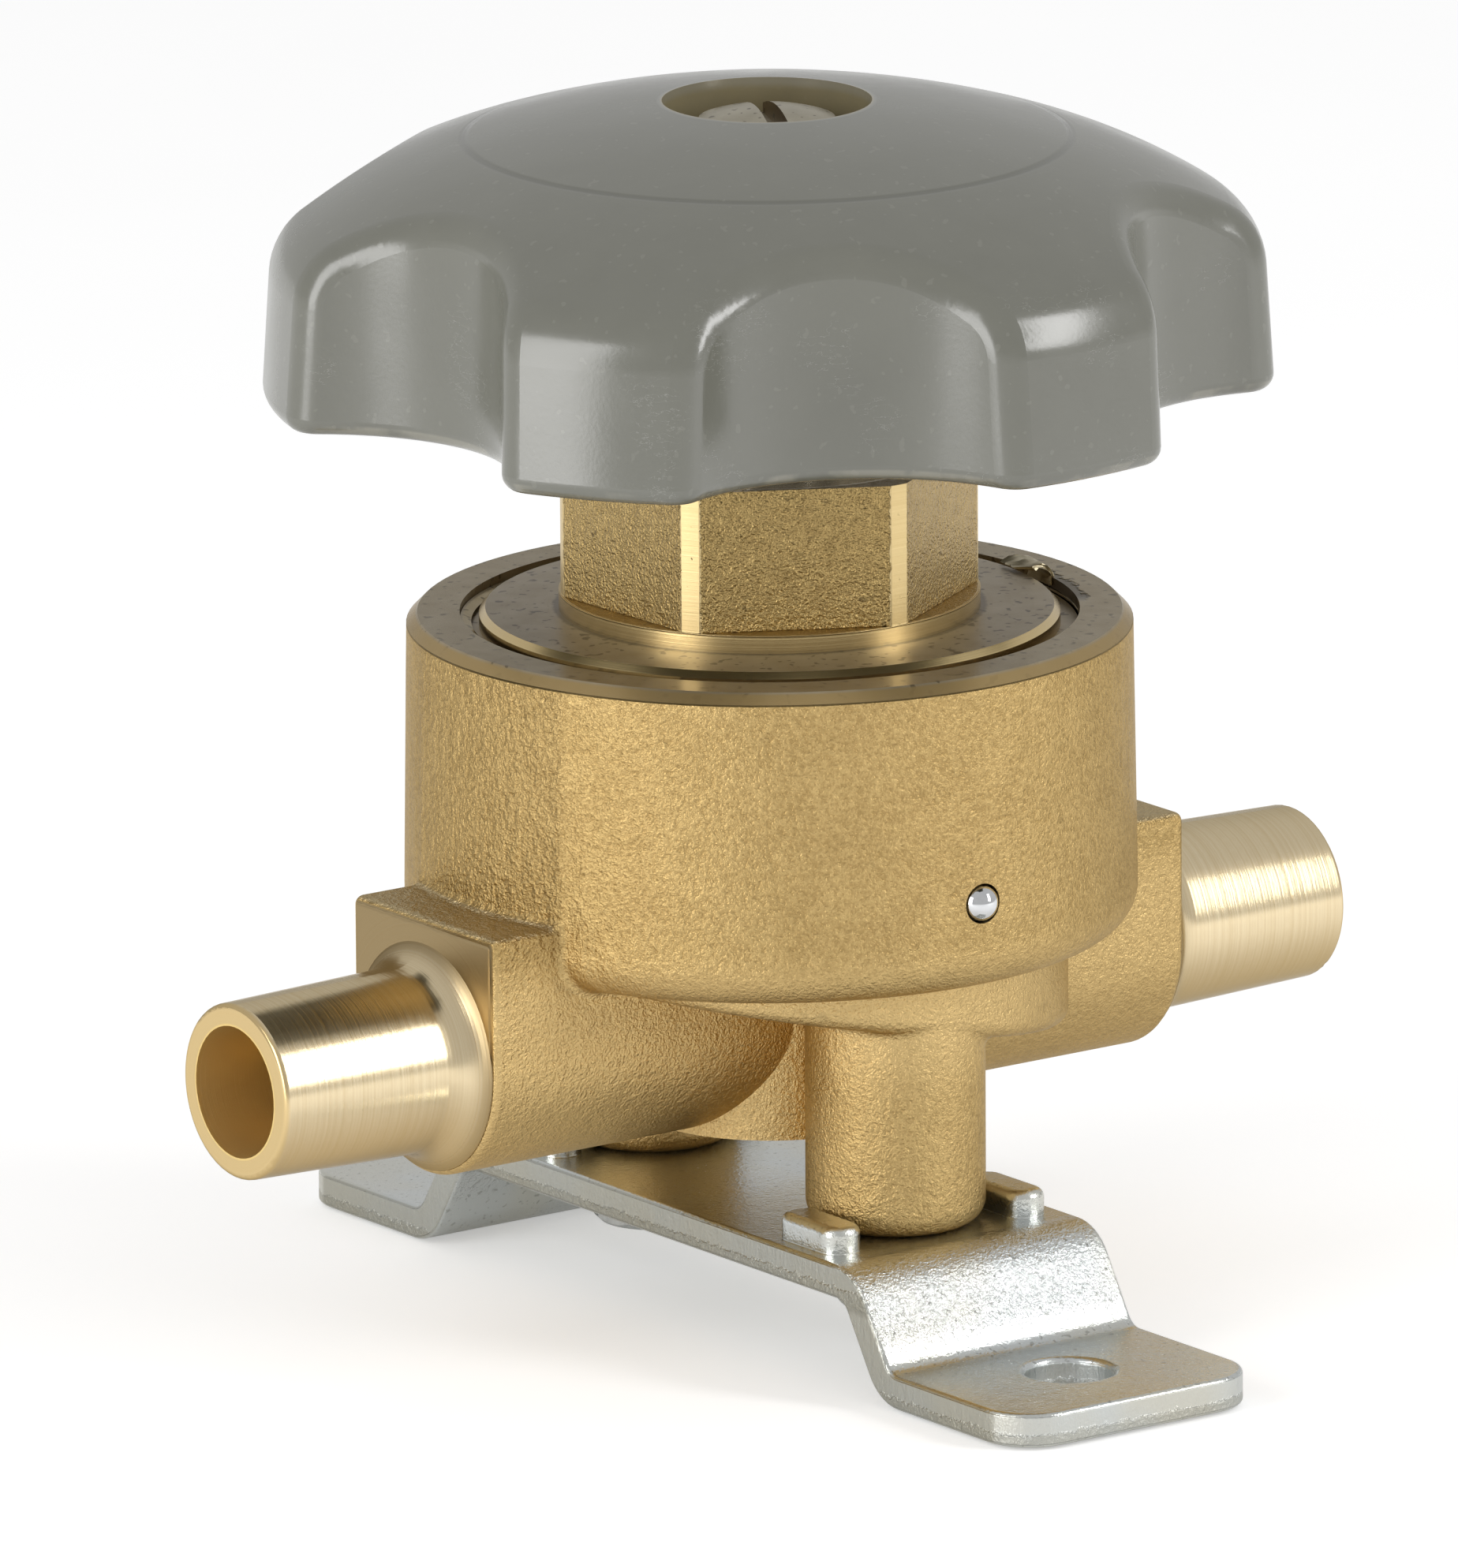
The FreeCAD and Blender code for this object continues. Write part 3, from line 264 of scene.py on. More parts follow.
# %% [markdown]
# ### The body's colours
# Forged brass is deeper in its hollows. Dust pales the level tops, and the lower half, most of all at the
# left, is painted paler as painted light from the low left lamp. The stubs are pale and bright, with painted
# shade on their undersides, a painted dark reflection on their end faces and painted light in their bores.
# The rim of the mouth has gone grey-brown with dark flecks. The notch at the thread's start and a thin ring
# round the side ball are painted dark as painted shade.

# %% Colours of the body
skin_colour = body.mix(body.rise(waves * 0.3 + crinkles + sand, 0.85, 1.45), FORGED_DEEP, FORGED)
post = (1 - body.rise(z, 19.0, 24.0)) * body.rise(abs(y), 10.5, 12.0)
# Painted light: the lower half of the body, most at the left and less on the posts and the right, is painted
# paler.
low_left_painted_light = (1 - body.rise(z, 28.0, 33.0)) * (1 - post * 0.7) * (1 - body.rise(x, 6.0, 14.0) * 0.4)
skin_colour = body.mix(low_left_painted_light * 0.55, skin_colour, tone(226, 196, 138))
dusty = body.rise(body.facing()[2], 0.6, 0.9)
skin_colour = body.mix(dusty * 0.6, skin_colour, tone(216, 200, 164))
spots = specks(body, place, 0.5, 0.72, 0.82) * (1 - machined)
skin_colour = body.mix(spots * 0.2, skin_colour, SPECK)
end_colour = body.mix(lathe_lines, TURNED_DEEP, TURNED)
end_face = turned_end * (1 - body.rise(reach, 31.0, 32.6)) * body.rise(pipe_radius, 6.8, 8.3)
# Painted dark reflection: the end faces of the blocks are painted darker.
end_colour = body.mix(end_face * 0.85, end_colour, tone(144, 123, 86))
stub_rim = body.rise(reach, STUB_END - 0.4, STUB_END - 0.1)
end_colour = body.mix(stub_rim * 0.8, end_colour, tone(214, 186, 130))
# Painted shade: the undersides of the turned ends are painted darker.
under = 1 - body.rise(body.facing()[2], -0.7, 0.05)
end_colour = body.mix(under * 0.6, end_colour, tone(188, 160, 108))
# Painted light: the bores are painted paler, in place of the light that bounces inside them.
end_colour = body.mix(bore * 0.8, end_colour, tone(246, 216, 142))
flecks = specks(body, place, 1.3, 0.64, 0.71)
ring_colour = body.mix(body.noise(place, 0.5, 3.0), TARNISH_DEEP, TARNISH)
chamfer = (1 - body.rise(z, MOUTH_TOP - 0.2, MOUTH_TOP - 0.02)) * body.rise(radius, 24.5, 25.0)
ring_colour = body.mix(chamfer * 0.85, ring_colour, tone(172, 146, 96))
ring_colour = body.mix(flecks * (1 - chamfer * 0.85) * 0.6, ring_colour, SPECK)
# Painted shade: the notch at the thread's start is painted dark.
ring_colour = body.mix(bite * 0.8, ring_colour, SPECK)
colour = body.mix(turned_end, body.mix(machined, skin_colour, ring_colour), end_colour)

ball_x, ball_z = -0.7, 35.1
ball_gap = ((x - ball_x) * (x - ball_x) + (z - ball_z) * (z - ball_z)) ** 0.5
# Painted shade: a thin dark ring round the side ball, where the gap round it lies in shade.
ball_gap_painted_shade = (1 - body.rise(ball_gap, 1.46, 1.50)) * (1 - body.rise(y, -24.0, -23.0))
colour = body.mix(ball_gap_painted_shade * 0.5, colour, SPECK)

roughness = (0.20 + sand * 0.32) * (1 - machined) + machined * 0.15 + mouth_ring * 0.12
roughness = roughness + lathe_lines * turned_end * 0.12 + bore * 0.22 + end_face * 0.16
dress(body.paint(Base_Color=colour, Roughness=roughness, Metallic=1 - mouth_ring * 0.42 - bore * 0.15,
                 Normal=body.bump(relief)), "valve_body")

# %% [markdown]
# ## The bonnet
# The bonnet is forged as a hexagon and then turned: the flange and collar are smooth and brown with handling,
# the flats keep their sandy skin, and the lathe has just touched the six corners, which are bright
# strips with level lines. The corner strips are found by their distance from the axis.

# %% The bonnet's finish
bonnet = Finish("bonnet_brass_sandy_hexagon")
place = bonnet.millimetres()
x, y, z = bonnet.parts(place)
facing_up = bonnet.facing()[2]
radius = (x * x + y * y) ** 0.5
above_collar = bonnet.rise(z, 53.1, 53.25)
chips = bonnet.noise(place, 1.6, 3.0, 0.7)
corner = bonnet.rise(radius + (chips - 0.5) * 0.25, 15.0, 15.06) * above_collar
flat = above_collar * (1 - corner) * bonnet.rise(radius, 12.9, 13.2)
flange = bonnet.rise(facing_up, 0.8, 0.95) * (1 - bonnet.rise(z, 52.0, 52.2))

lumps = bonnet.noise(place, 0.9, 2.0, 0.5)
sandy = bonnet.noise(place, 4.4, 2.0, 0.6)
level_lines = bonnet.noise(bonnet.vector(radius * 5.0, z * 5.0, 0.0), 1.0, 3.0, 0.7)
relief = (lumps * 0.14 + sandy * 0.20) * flat + level_lines * 0.014 * (1 - flat)

flat_colour = bonnet.mix(lumps, tone(168, 142, 91), tone(198, 171, 114))
flat_colour = bonnet.mix(specks(bonnet, place, 0.9, 0.72, 0.76) * 0.5, flat_colour, SPECK)
turned_colour = bonnet.mix(level_lines, tone(202, 176, 122), tone(234, 212, 160))
flange_colour = bonnet.mix(bonnet.noise(place, 0.4, 3.0), TARNISH_DEEP, TARNISH)
flange_colour = bonnet.mix(specks(bonnet, place, 1.4, 0.63, 0.70) * 0.65, flange_colour, SPECK)
# A dark ring is painted on the flange round the foot of the collar.
collar_foot_ring = bonnet.band(radius + chips * 0.5, 15.4, 15.7, 0.35)
flange_colour = bonnet.mix(collar_foot_ring * 0.6, flange_colour, SPECK)
colour = bonnet.mix(flat, turned_colour, flat_colour)
colour = bonnet.mix(flange, colour, flange_colour)
roughness = 0.20 + flat * 0.08 + flange * 0.16 + corner * 0.16 + level_lines * 0.08
dress(bonnet.paint(Base_Color=colour, Roughness=roughness, Metallic=1 - flange * 0.35,
                   Normal=bonnet.bump(relief)), "bonnet")

# %% [markdown]
# ## Zinc-plated strip and its screws
# The bracket is blanked and folded from steel strip and then zinc plated. The faces are bright with a faint
# yellow and blue bloom, the outside of each bend is stretched to a hammered texture, and the sheared edges
# are smooth at the top and torn below. Zones again come from the place on the strip.

# %% The bracket's finish
zinc = Finish("zinc_plate_bright", Metallic=1.0)
place = zinc.millimetres()
x, y, z = zinc.parts(place)
facing_up = zinc.facing()[2]
side_edge = zinc.rise(abs(x), 10.85, 10.95)
edge = (1 - zinc.rise(abs(facing_up), 0.2, 0.4)) * (1 - zinc.rise(z, 9.1, 9.3))
below = 1 - zinc.rise(facing_up, -0.7, -0.2)
bend = zinc.band(abs(y), 23.0, 28.0, 1.5) * zinc.rise(z, 3.0, 5.0) * (1 - edge)
peel = zinc.noise(place, 0.9, 2.0, 0.5)
hammer = zinc.noise(place, 2.4, 3.0, 0.6)
grit = zinc.noise(place, 5.0, 2.0, 0.6)
shear = zinc.noise(zinc.vector(x * 2.5, y * 2.5, z * 0.7), 1.0, 3.0, 0.65)
tear = zinc.noise(place, 1.4, 3.0, 0.7)
torn_low = 1 - zinc.rise(z + tear * 1.2, 1.35, 1.65)
torn_high = zinc.rise(z, 6.0, 6.6) * (1 - zinc.rise(z + tear * 1.2, 8.0, 8.3))
torn = edge * (torn_low + torn_high)
relief = peel * 0.025 + hammer * (0.03 + bend * 0.09) + grit * (0.03 + bend * 0.05)
relief = relief + shear * edge * 0.08 + tear * torn * 0.25

bloom = zinc.noise(place, 0.11, 2.0)
colour = zinc.mix(zinc.rise(bloom, 0.35, 0.65), tone(213, 212, 202), tone(210, 214, 213))
colour = zinc.mix(side_edge * 0.6, colour, tone(160, 158, 144))
# Painted shade: faces that look down are painted darker.
colour = zinc.mix(below * 0.35, colour, tone(160, 158, 146))
colour = zinc.mix(torn * 0.35, colour, tone(142, 138, 122))
colour = zinc.mix(specks(zinc, place, 2.4, 0.64, 0.74) * (1 - edge) * 0.4, colour, tone(112, 110, 98))
roughness = 0.16 + grit * 0.16 + edge * 0.14 + torn * 0.15
dress(zinc.paint(Base_Color=colour, Roughness=roughness, Normal=zinc.bump(relief)), "mounting_bracket")

# %% [markdown]
# ## The screws under the bracket
# Two screws hold the bracket to the posts. They are cold headed from drawn wire, so faint lines run along
# them, and their zinc is duller than the strip's.

# %% The screws' finish
screws = Finish("zinc_screws_dull", Metallic=1.0)
place = screws.millimetres()
x, y, z = screws.parts(place)
drawn = screws.noise(screws.vector(x * 3.0, y * 3.0, z * 0.5), 1.0, 3.0)
colour = screws.mix(drawn, tone(168, 170, 168), tone(206, 207, 203))
roughness = 0.28 + drawn * 0.14
dress(screws.paint(Base_Color=colour, Roughness=roughness, Normal=screws.bump(drawn * 0.012)),
      "bracket_screws")

# %% [markdown]
# ## The moulded wheel
# The wheel is grey plastic with a half gloss: broad soft highlights on the finger hollows, a faint dusty
# mottle and a few rubbed scratches on the front. A fine line runs round the middle where the mould has
# an insert, and the mould's flash leaves a pale thread along the lower edge.

# %% The wheel's finish
wheel = Finish("wheel_plastic_grey", IOR=1.75)
place = wheel.millimetres()
x, y, z = wheel.parts(place)
radius = (x * x + y * y) ** 0.5
upper = wheel.rise(z, 80.0, 83.0)
insert_line = wheel.band(radius, 21.7, 21.9, 0.35) * upper
insert = (1 - wheel.rise(radius, 21.4, 22.3)) * upper
in_recess = 1 - wheel.rise(radius, 7.6, 7.75)
recess_rim_painted_highlight = wheel.band(radius, 7.5, 7.75, 0.25) * wheel.rise(z, 88.2, 88.8)
flash = wheel.band(z, 67.9, 68.25, 0.25) * wheel.rise(wheel.noise(place, 0.3, 3.0), 0.42, 0.6)

mottle = wheel.noise(place, 0.25, 3.0, 0.6)
dust = specks(wheel, place, 1.4, 0.69, 0.73)
rub_place = wheel.vector(x * 0.9, y * 0.9, z * 2.2)
rubs = wheel.band(wheel.noise(rub_place, 0.55, 4.0, 0.6), 0.497, 0.503, 0.004)
rubbed = rubs * wheel.rise(wheel.noise(place, 0.14, 2.0), 0.56, 0.66) * (1 - upper)

colour = wheel.mix(mottle, tone(108, 108, 98), tone(115, 115, 105))
colour = wheel.mix(dust * 0.10, colour, tone(170, 168, 158))
colour = wheel.mix(rubbed * 0.30, colour, tone(170, 170, 164))
colour = wheel.mix(flash * 0.35, colour, tone(172, 168, 152))
colour = wheel.mix(insert_line * 0.45, colour, tone(92, 92, 86))
colour = wheel.mix(in_recess * (0.45 + mottle * 0.4), colour, tone(150, 136, 98))
# Painted highlight: a paler band on the rim of the recess, in place of a rounded edge catching the light.
colour = wheel.mix(recess_rim_painted_highlight * 0.35, colour, tone(150, 150, 143))
swell = wheel.noise(place, 0.09, 1.0)
pores = wheel.noise(place, 3.0, 2.0)
relief = swell * 0.12 + pores * 0.006 + insert * 0.10 - insert_line * 0.05
roughness = 0.16 + mottle * 0.10 + rubbed * 0.1
dress(wheel.paint(Base_Color=colour, Roughness=roughness, Normal=wheel.bump(relief)), "handwheel")

# %% [markdown]
# ## The screw and washer on the wheel
# A slotted screw holds the wheel. Its head has gone dull with handling, its upright faces, the walls of its
# slot among them, are painted a darker brown, and fine rings are left from turning.

# %% The fastener's finish
fastener = Finish("wheel_fastener_tarnished", Metallic=1.0)
place = fastener.millimetres()
x, y, z = fastener.parts(place)
radius = (x * x + y * y) ** 0.5
rings = fastener.noise(fastener.vector(radius * 4.0, z * 2.0, 0.0), 1.0, 3.0)
stain = fastener.noise(place, 0.6, 3.0)
slot_wall = 1 - fastener.rise(abs(fastener.facing()[2]), 0.5, 0.8)
colour = fastener.mix(stain, tone(150, 142, 122), tone(192, 186, 168))
# The upright faces, the walls of the slot among them, are painted a darker brown.
colour = fastener.mix(slot_wall * 0.6, colour, tone(120, 88, 44))
colour = fastener.mix(specks(fastener, place, 1.5, 0.66, 0.72) * 0.6, colour, SPECK)
roughness = 0.30 + stain * 0.15
dress(fastener.paint(Base_Color=colour, Roughness=roughness, Normal=fastener.bump(rings * 0.012)),
      "handwheel_screw", "wheel_washer")

# %% [markdown]
# ## Balls, inner brass and the soft pieces
# A hardened ball plugs a drilling in the side and a second one carries the thrust inside. The pad, the plate
# and the ring are turned brass, the spindle, spring and diaphragms are stainless, the seal is rubber
# and the seat disc nylon. Each has its own marks from the way in which it is made.

# %% Polished balls
polish = Finish("ball_steel_polished", Metallic=1.0)
place = polish.millimetres()
haze = polish.noise(place, 2.0, 3.0)
colour = polish.mix(haze, tone(206, 208, 210), tone(226, 227, 228))
dress(polish.paint(Base_Color=colour, Roughness=0.05 + haze * 0.05), "side_ball", "thrust_ball")


# %% [markdown]
# ### Turned pieces inside
# The inner pieces are all turned on a lathe, so one function makes their finish: only the colour and the
# roughness differ.

# %% Turned metal inside the valve
def turned_metal(name, dark, light, rough):
    """Metal with lathe lines round the spindle axis."""
    finish = Finish(name, Metallic=1.0)
    x, y, z = finish.parts(finish.millimetres())
    radius = (x * x + y * y) ** 0.5
    lines = finish.noise(finish.vector(radius * 6.0, z * 6.0, 0.0), 1.0, 3.0, 0.65)
    return finish.paint(Base_Color=finish.mix(lines, dark, light), Roughness=rough + lines * 0.12,
                        Normal=finish.bump(lines * 0.01))


dress(turned_metal("inner_brass_turned", TURNED_DEEP, TURNED, 0.2), "thrust_pad", "valve_plate", "slip_ring")
stainless = turned_metal("stainless_bright", tone(176, 178, 180), tone(214, 215, 216), 0.18)
dress(stainless, "spindle", "return_spring", "diaphragm_lower", "diaphragm_middle", "diaphragm_upper")


# %% [markdown]
# ### Soft pieces
# Rubber and nylon are not metal: their colour comes from below the surface, with a fine even grain on it.

# %% Rubber and nylon
def moulded(name, dark, light, rough, grain):
    """A soft moulded or cut piece with a fine even grain."""
    finish = Finish(name)
    place = finish.millimetres()
    cloud = finish.noise(place, 0.8, 3.0)
    fine = finish.noise(place, 6.0, 2.0)
    return finish.paint(Base_Color=finish.mix(cloud, dark, light), Roughness=rough + fine * 0.15,
                        Normal=finish.bump(fine * grain))


dress(moulded("seal_rubber_matt", tone(28, 28, 29), tone(44, 44, 45), 0.6, 0.02), "spindle_seal")
dress(moulded("seat_nylon_turned", tone(222, 218, 202), tone(236, 233, 220), 0.35, 0.008), "seat_disc")

# %% [markdown]
# ## Modelling helpers
# The pieces that follow are new meshes. Each starts from a primitive at its real size and place, is worked in
# edit mode or by a modifier that is applied, and ends with its place in its mesh and its faces outwards.

# %% Helpers for modelling
MM = 0.001


def start_clean():
    """Leave edit mode and deselect everything, the CAD nodes among it."""
    if bpy.context.mode != "OBJECT":
        bpy.ops.object.mode_set(mode="OBJECT")
    bpy.ops.object.select_all(action="DESELECT")


def finish_piece(piece, name, material, angle=40):
    """Name a piece, put its place into its mesh, close it up and turn its faces outwards."""
    piece.name = name
    piece.data.name = name
    start_clean()
    piece.select_set(True)
    bpy.context.view_layer.objects.active = piece
    bpy.ops.object.transform_apply(location=True, rotation=True, scale=True)
    bpy.ops.object.mode_set(mode="EDIT")
    bpy.ops.mesh.select_all(action="SELECT")
    bpy.ops.mesh.remove_doubles(threshold=1e-6)
    bpy.ops.mesh.normals_make_consistent(inside=False)
    bpy.ops.object.mode_set(mode="OBJECT")
    bpy.ops.object.shade_smooth_by_angle(angle=math.radians(angle))
    piece.data.materials.clear()
    piece.data.materials.append(material)
    print("piece:", name, len(piece.data.polygons), "faces")
    return piece


def sweep_helix(piece, turns, climb, steps):
    """Sweep an upright outline round the Z axis while it climbs, and cap both ends."""
    helix = piece.modifiers.new("helix", "SCREW")
    helix.axis = "Z"
    helix.angle = math.radians(360 * turns)
    helix.screw_offset = climb
    helix.steps = steps
    helix.render_steps = steps
    bpy.ops.object.modifier_apply(modifier=helix.name)
    bpy.ops.object.mode_set(mode="EDIT")
    bpy.ops.mesh.select_all(action="SELECT")
    bpy.ops.mesh.fill_holes(sides=0)
    bpy.ops.object.mode_set(mode="OBJECT")


# %% [markdown]
# ## The thread in the gap
# Between the bonnet's flange and the mouth of the body there is a dark gap, and at its bottom the last turn
# of the body's thread can be seen. A three-cornered profile, pointing inwards, is swept up a helix: the Screw
# modifier does exactly that, with the pitch as its climb.

# %% The last turn of the body's thread
THREAD_WALL = 22.3 * MM
THREAD_DEPTH = 0.8 * MM
THREAD_HEIGHT = 0.56 * MM
THREAD_PITCH = 1.5 * MM
THREAD_MIDDLE = 50.2 * MM
THREAD_TURNS = 0.62
THREAD_START = math.radians(-8.0)

start_clean()
corner_radius = THREAD_DEPTH / 1.5
bpy.ops.mesh.primitive_circle_add(vertices=3, radius=corner_radius,
                                  location=(THREAD_WALL - corner_radius / 2, 0, THREAD_MIDDLE),
                                  rotation=(math.radians(90), math.radians(-90), 0))
thread = bpy.context.object
bpy.ops.object.transform_apply(location=False, rotation=True, scale=False)
bpy.ops.transform.resize(value=(1, 1, THREAD_HEIGHT / (corner_radius * math.sqrt(3))))
bpy.ops.object.transform_apply(location=True, rotation=True, scale=True)
sweep_helix(thread, THREAD_TURNS, THREAD_PITCH * THREAD_TURNS, 160)
thread.rotation_euler[2] = THREAD_START
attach(finish_piece(thread, "mouth_thread_turn", body.material), "housing")

# %% [markdown]
# ## The burr at the thread's start
# Where the thread tool broke through the mouth, it left a curl of brass that leans over the gap. It is a
# thin strip, cut into small faces and spun over in a half turn. Its free end is narrowed and pushed to one
# side, and then all its points are shifted a little at random, with a fixed seed, so that it looks torn.

# %% The curl of brass
BURR_ROOT = Vector((22.3, 0, 51.0)) * MM
BURR_TURN_CENTRE = Vector((21.25, 0, 51.4)) * MM
BURR_WIDTH = 3.4 * MM
BURR_SHEET = 0.4 * MM
BURR_PLACE = math.radians(-8.0)
BURR_CURL = math.radians(155)
BURR_TIP_SHIFT = Vector((-0.3, 0.9, 0)) * MM
BURR_CRUMPLE = 0.11 * MM

start_clean()
bpy.ops.mesh.primitive_plane_add(size=1.0, location=BURR_ROOT)
burr = bpy.context.object
burr.scale = (BURR_SHEET, BURR_WIDTH, 1)
bpy.ops.object.transform_apply(location=True, rotation=True, scale=True)
bpy.ops.object.mode_set(mode="EDIT")
bpy.ops.mesh.select_all(action="SELECT")
bpy.ops.mesh.subdivide(number_cuts=5)
bpy.ops.mesh.spin(steps=8, angle=BURR_CURL, center=BURR_TURN_CENTRE, axis=(0, 1, 0))
bpy.ops.transform.resize(value=(0.7, 0.6, 0.7))
bpy.ops.transform.translate(value=BURR_TIP_SHIFT)
bpy.ops.mesh.select_all(action="SELECT")
bpy.ops.transform.vertex_random(offset=BURR_CRUMPLE, uniform=0.2, normal=0.6, seed=5)
bpy.ops.object.mode_set(mode="OBJECT")
burr.rotation_euler[2] = BURR_PLACE
torn_brass = turned_metal("body_brass_torn", tone(176, 163, 132), tone(212, 202, 174), 0.34)
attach(finish_piece(burr, "mouth_thread_burr", torn_brass), "housing")

# %% [markdown]
# ## Spring and diaphragms
# Three thin steel discs seal the stem. Their rims are clamped under the bonnet, and their middles go up and
# down with the pad, so a stiff disc would be cut through when the wheel turns. Each is modelled as a dished
# sheet first, and then given its thickness.

# %% The three diaphragms
DISC_SHEET = 0.25 * MM
DISC_FLAT = 9.4 * MM
DISC_BEND = 16.0 * MM
DISC_SLOPE_STEPS = 8


def step_out(from_radius, to_radius, climb):
    """Extrude the selected ring of edges outwards and upwards."""
    bpy.ops.mesh.extrude_edges_move(TRANSFORM_OT_translate={"value": (0, 0, climb)})
    ratio = to_radius / from_radius
    bpy.ops.transform.resize(value=(ratio, ratio, 1))


def diaphragm(node):
    """A dished sheet in place of a stiff disc."""
    lowest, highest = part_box(node)
    flat, rim = lowest[2] + DISC_SHEET / 2, highest[2] - DISC_SHEET / 2
    start_clean()
    bpy.ops.mesh.primitive_circle_add(vertices=96, radius=DISC_FLAT, fill_type="NGON", location=(0, 0, flat))
    disc = bpy.context.object
    bpy.ops.object.mode_set(mode="EDIT")
    bpy.ops.mesh.select_all(action="SELECT")
    bpy.ops.mesh.region_to_loop()
    ring = DISC_FLAT
    for step in range(DISC_SLOPE_STEPS):
        wider = ring + (DISC_BEND - DISC_FLAT) / DISC_SLOPE_STEPS
        step_out(ring, wider, (rim - flat) / DISC_SLOPE_STEPS)
        ring = wider
    step_out(ring, highest[0], 0)
    finish_piece(disc, node + "_sheet", stainless)
    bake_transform(disc)
    thick = disc.modifiers.new("thickness", "SOLIDIFY")
    thick.thickness = DISC_SHEET
    thick.offset = 0
    bpy.ops.object.modifier_apply(modifier=thick.name)
    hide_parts(node)
    print("sheet:", node, len(disc.data.vertices), "points")


for layer in ("diaphragm_lower", "diaphragm_middle", "diaphragm_upper"):
    diaphragm(layer)

# %% [markdown]
# ## The return spring
# The spring stands on the floor of the chamber and lifts the plate. It is wound from round wire, so a circle
# is swept up a helix.

# %% The return spring
SPRING_WIRE = 1.0 * MM
SPRING_TURNS = 3.5

lowest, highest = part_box("return_spring")
start_clean()
bpy.ops.mesh.primitive_circle_add(vertices=12, radius=SPRING_WIRE / 2, rotation=(math.radians(90), 0, 0),
                                  location=(highest[0] - SPRING_WIRE / 2, 0, lowest[2] + SPRING_WIRE / 2))
spring = bpy.context.object
bpy.ops.object.transform_apply(location=True, rotation=True, scale=True)
sweep_helix(spring, SPRING_TURNS, highest[2] - lowest[2] - SPRING_WIRE, 168)
finish_piece(spring, "return_spring_coil", stainless)
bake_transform(spring)
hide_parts("return_spring")

# %% [markdown]
# ## Light, floor and camera
# The valve stands on a white table between two large soft lights, one at the left and one at the right
# front, with little light from above, so the tops stay calm and the upright faces shine. The floor is so
# pale that it runs into the background, and it keeps the shadow.

# %% The floor
start_clean()
bpy.ops.mesh.primitive_plane_add(size=6.0, location=(0, 0, -0.0002))
floor = bpy.context.object
floor.name = "table_top"
table = Finish("table_white", Specular_IOR_Level=0.1, Roughness=0.9)
seen = table.node("LightPath", output="Is Camera Ray")
shiny = table.node("LightPath", output="Is Glossy Ray")
through = table.node("LightPath", output="Is Transmission Ray")
place = table.millimetres()
x, y, z = table.parts(place)
# Painted shadow: the glow that reflections see fades near the valve, as a painted shadow round its foot.
painted_shadow_fade = 0.45 + 0.55 * table.rise((x * x + y * y) ** 0.5, 35.0, 100.0)
paper = table.noise(place, 0.02, 2.0)
table.plug(table.shader.inputs["Base Color"], table.mix(paper, tone(244, 244, 244), tone(247, 247, 247)))
glow = table.node("Clamp", None, {"Value": seen + (shiny + through) * painted_shadow_fade})
table.plug(table.shader.inputs["Emission Color"], table.mix(glow, (0, 0, 0, 1), (0.36, 0.36, 0.36, 1)))
table.shader.inputs["Emission Strength"].default_value = 1.0
floor.data.materials.append(table.material)
print("floor:", floor.name)


# %% [markdown]
# ### Soft lights
# Polished metal shows its lights as shapes. The left one is a tall panel that reaches down to the table. The
# right one leans outwards at the top, which makes the broad bright band along the right stub.

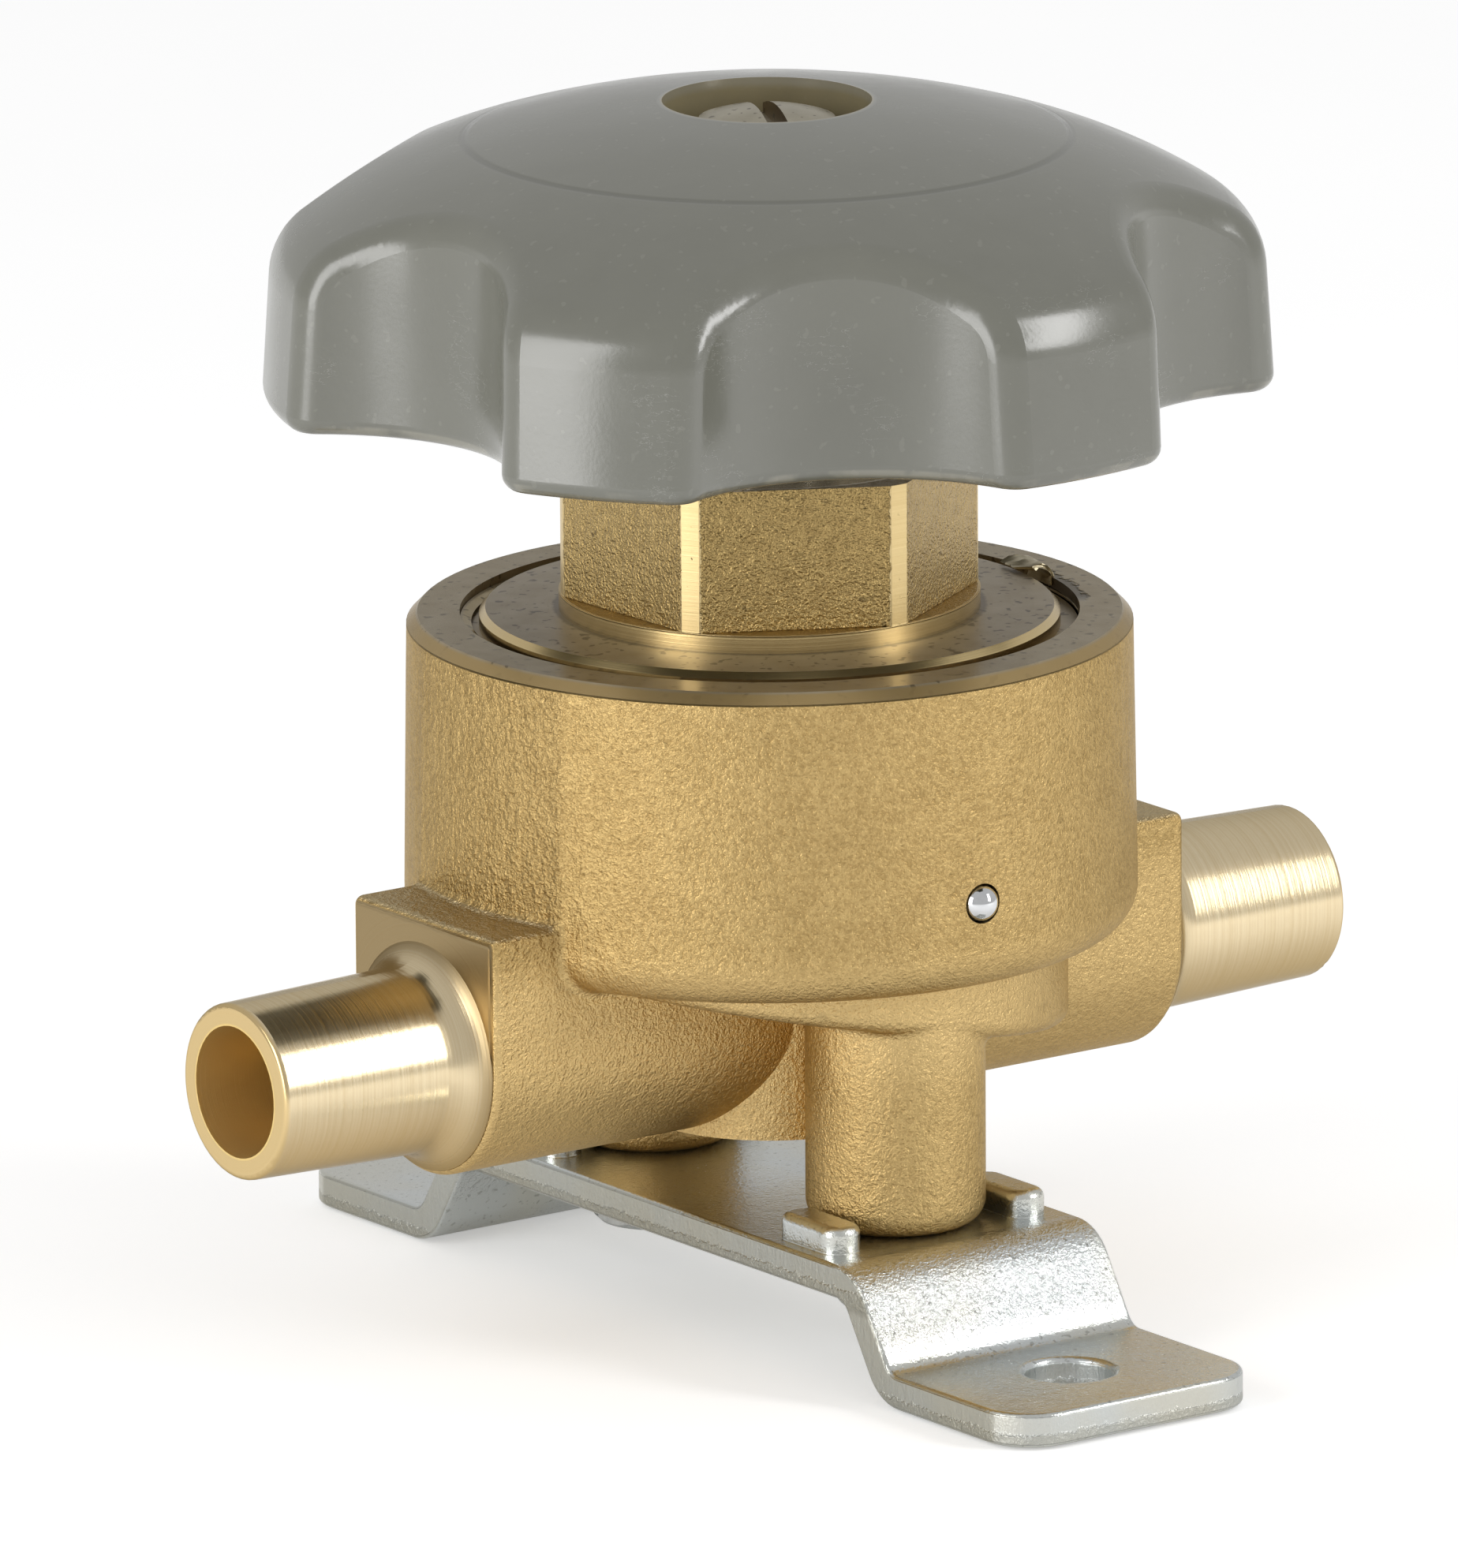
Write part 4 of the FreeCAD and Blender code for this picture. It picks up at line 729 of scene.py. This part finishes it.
# %% The lights
def soft_light(name, azimuth, elevation, distance, width, height, power, lean=0.0):
    """A rectangular soft light that faces the valve."""
    around, above = math.radians(azimuth), math.radians(elevation)
    aim = Vector((0, 0, 0.045))
    away = Vector((math.sin(around) * math.cos(above), -math.cos(around) * math.cos(above), math.sin(above)))
    lamp = bpy.data.lights.new(name, "AREA")
    lamp.shape = "RECTANGLE"
    lamp.size = width
    lamp.size_y = height
    lamp.energy = power
    holder = bpy.data.objects.new(name, lamp)
    bpy.context.scene.collection.objects.link(holder)
    holder.location = aim + away * distance
    turned = away.to_track_quat("Z", "Y").to_matrix() @ Matrix.Rotation(math.radians(lean), 3, "Z")
    holder.rotation_euler = turned.to_euler()
    print("light:", name, [round(value, 3) for value in holder.location])


soft_light("left_light", -86.0, 14.5, 0.44, 0.185, 0.32, 0.76)
soft_light("right_front_light", 35.5, 25.0, 0.56, 0.125, 0.35, 0.98, -20.0)

world = bpy.data.worlds.new("pale_room")
bpy.context.scene.world = world
world.use_nodes = True
world.node_tree.nodes["Background"].inputs["Color"].default_value = (1.0, 1.0, 1.0, 1.0)
world.node_tree.nodes["Background"].inputs["Strength"].default_value = 0.60

# %% [markdown]
# ### The camera
# The camera stands far away with a long lens, so that upright edges stay nearly parallel. It is placed by two
# angles round the valve and a slight roll.

# %% The camera
AZIMUTH, ELEVATION, ROLL = math.radians(-36.252), math.radians(14.102), math.radians(0.345)
DISTANCE, SHIFT_RIGHT, SHIFT_UP = 1717.195 * MM, -3.008 * MM, 37.386 * MM
PHOTO_WIDTH, FOCAL_PIXELS = 1848, 30000

right = Vector((math.cos(AZIMUTH), math.sin(AZIMUTH), 0))
back = Vector((math.sin(AZIMUTH) * math.cos(ELEVATION), -math.cos(AZIMUTH) * math.cos(ELEVATION),
               math.sin(ELEVATION)))
up = back.cross(right)
lens = bpy.data.cameras.new("photo_camera")
lens.sensor_fit = "HORIZONTAL"
lens.sensor_width = 36.0
lens.lens = lens.sensor_width * FOCAL_PIXELS / PHOTO_WIDTH
camera = bpy.data.objects.new("photo_camera", lens)
bpy.context.scene.collection.objects.link(camera)
camera.matrix_world = (Matrix.Translation(back * DISTANCE + right * SHIFT_RIGHT + up * SHIFT_UP)
                       @ Matrix((right, up, back)).transposed().to_4x4() @ Matrix.Rotation(-ROLL, 4, "Z"))
bpy.context.scene.camera = camera
bpy.context.scene.view_settings.view_transform = "Standard"
print("camera:", [round(value, 3) for value in camera.location], "lens", round(lens.lens, 1))
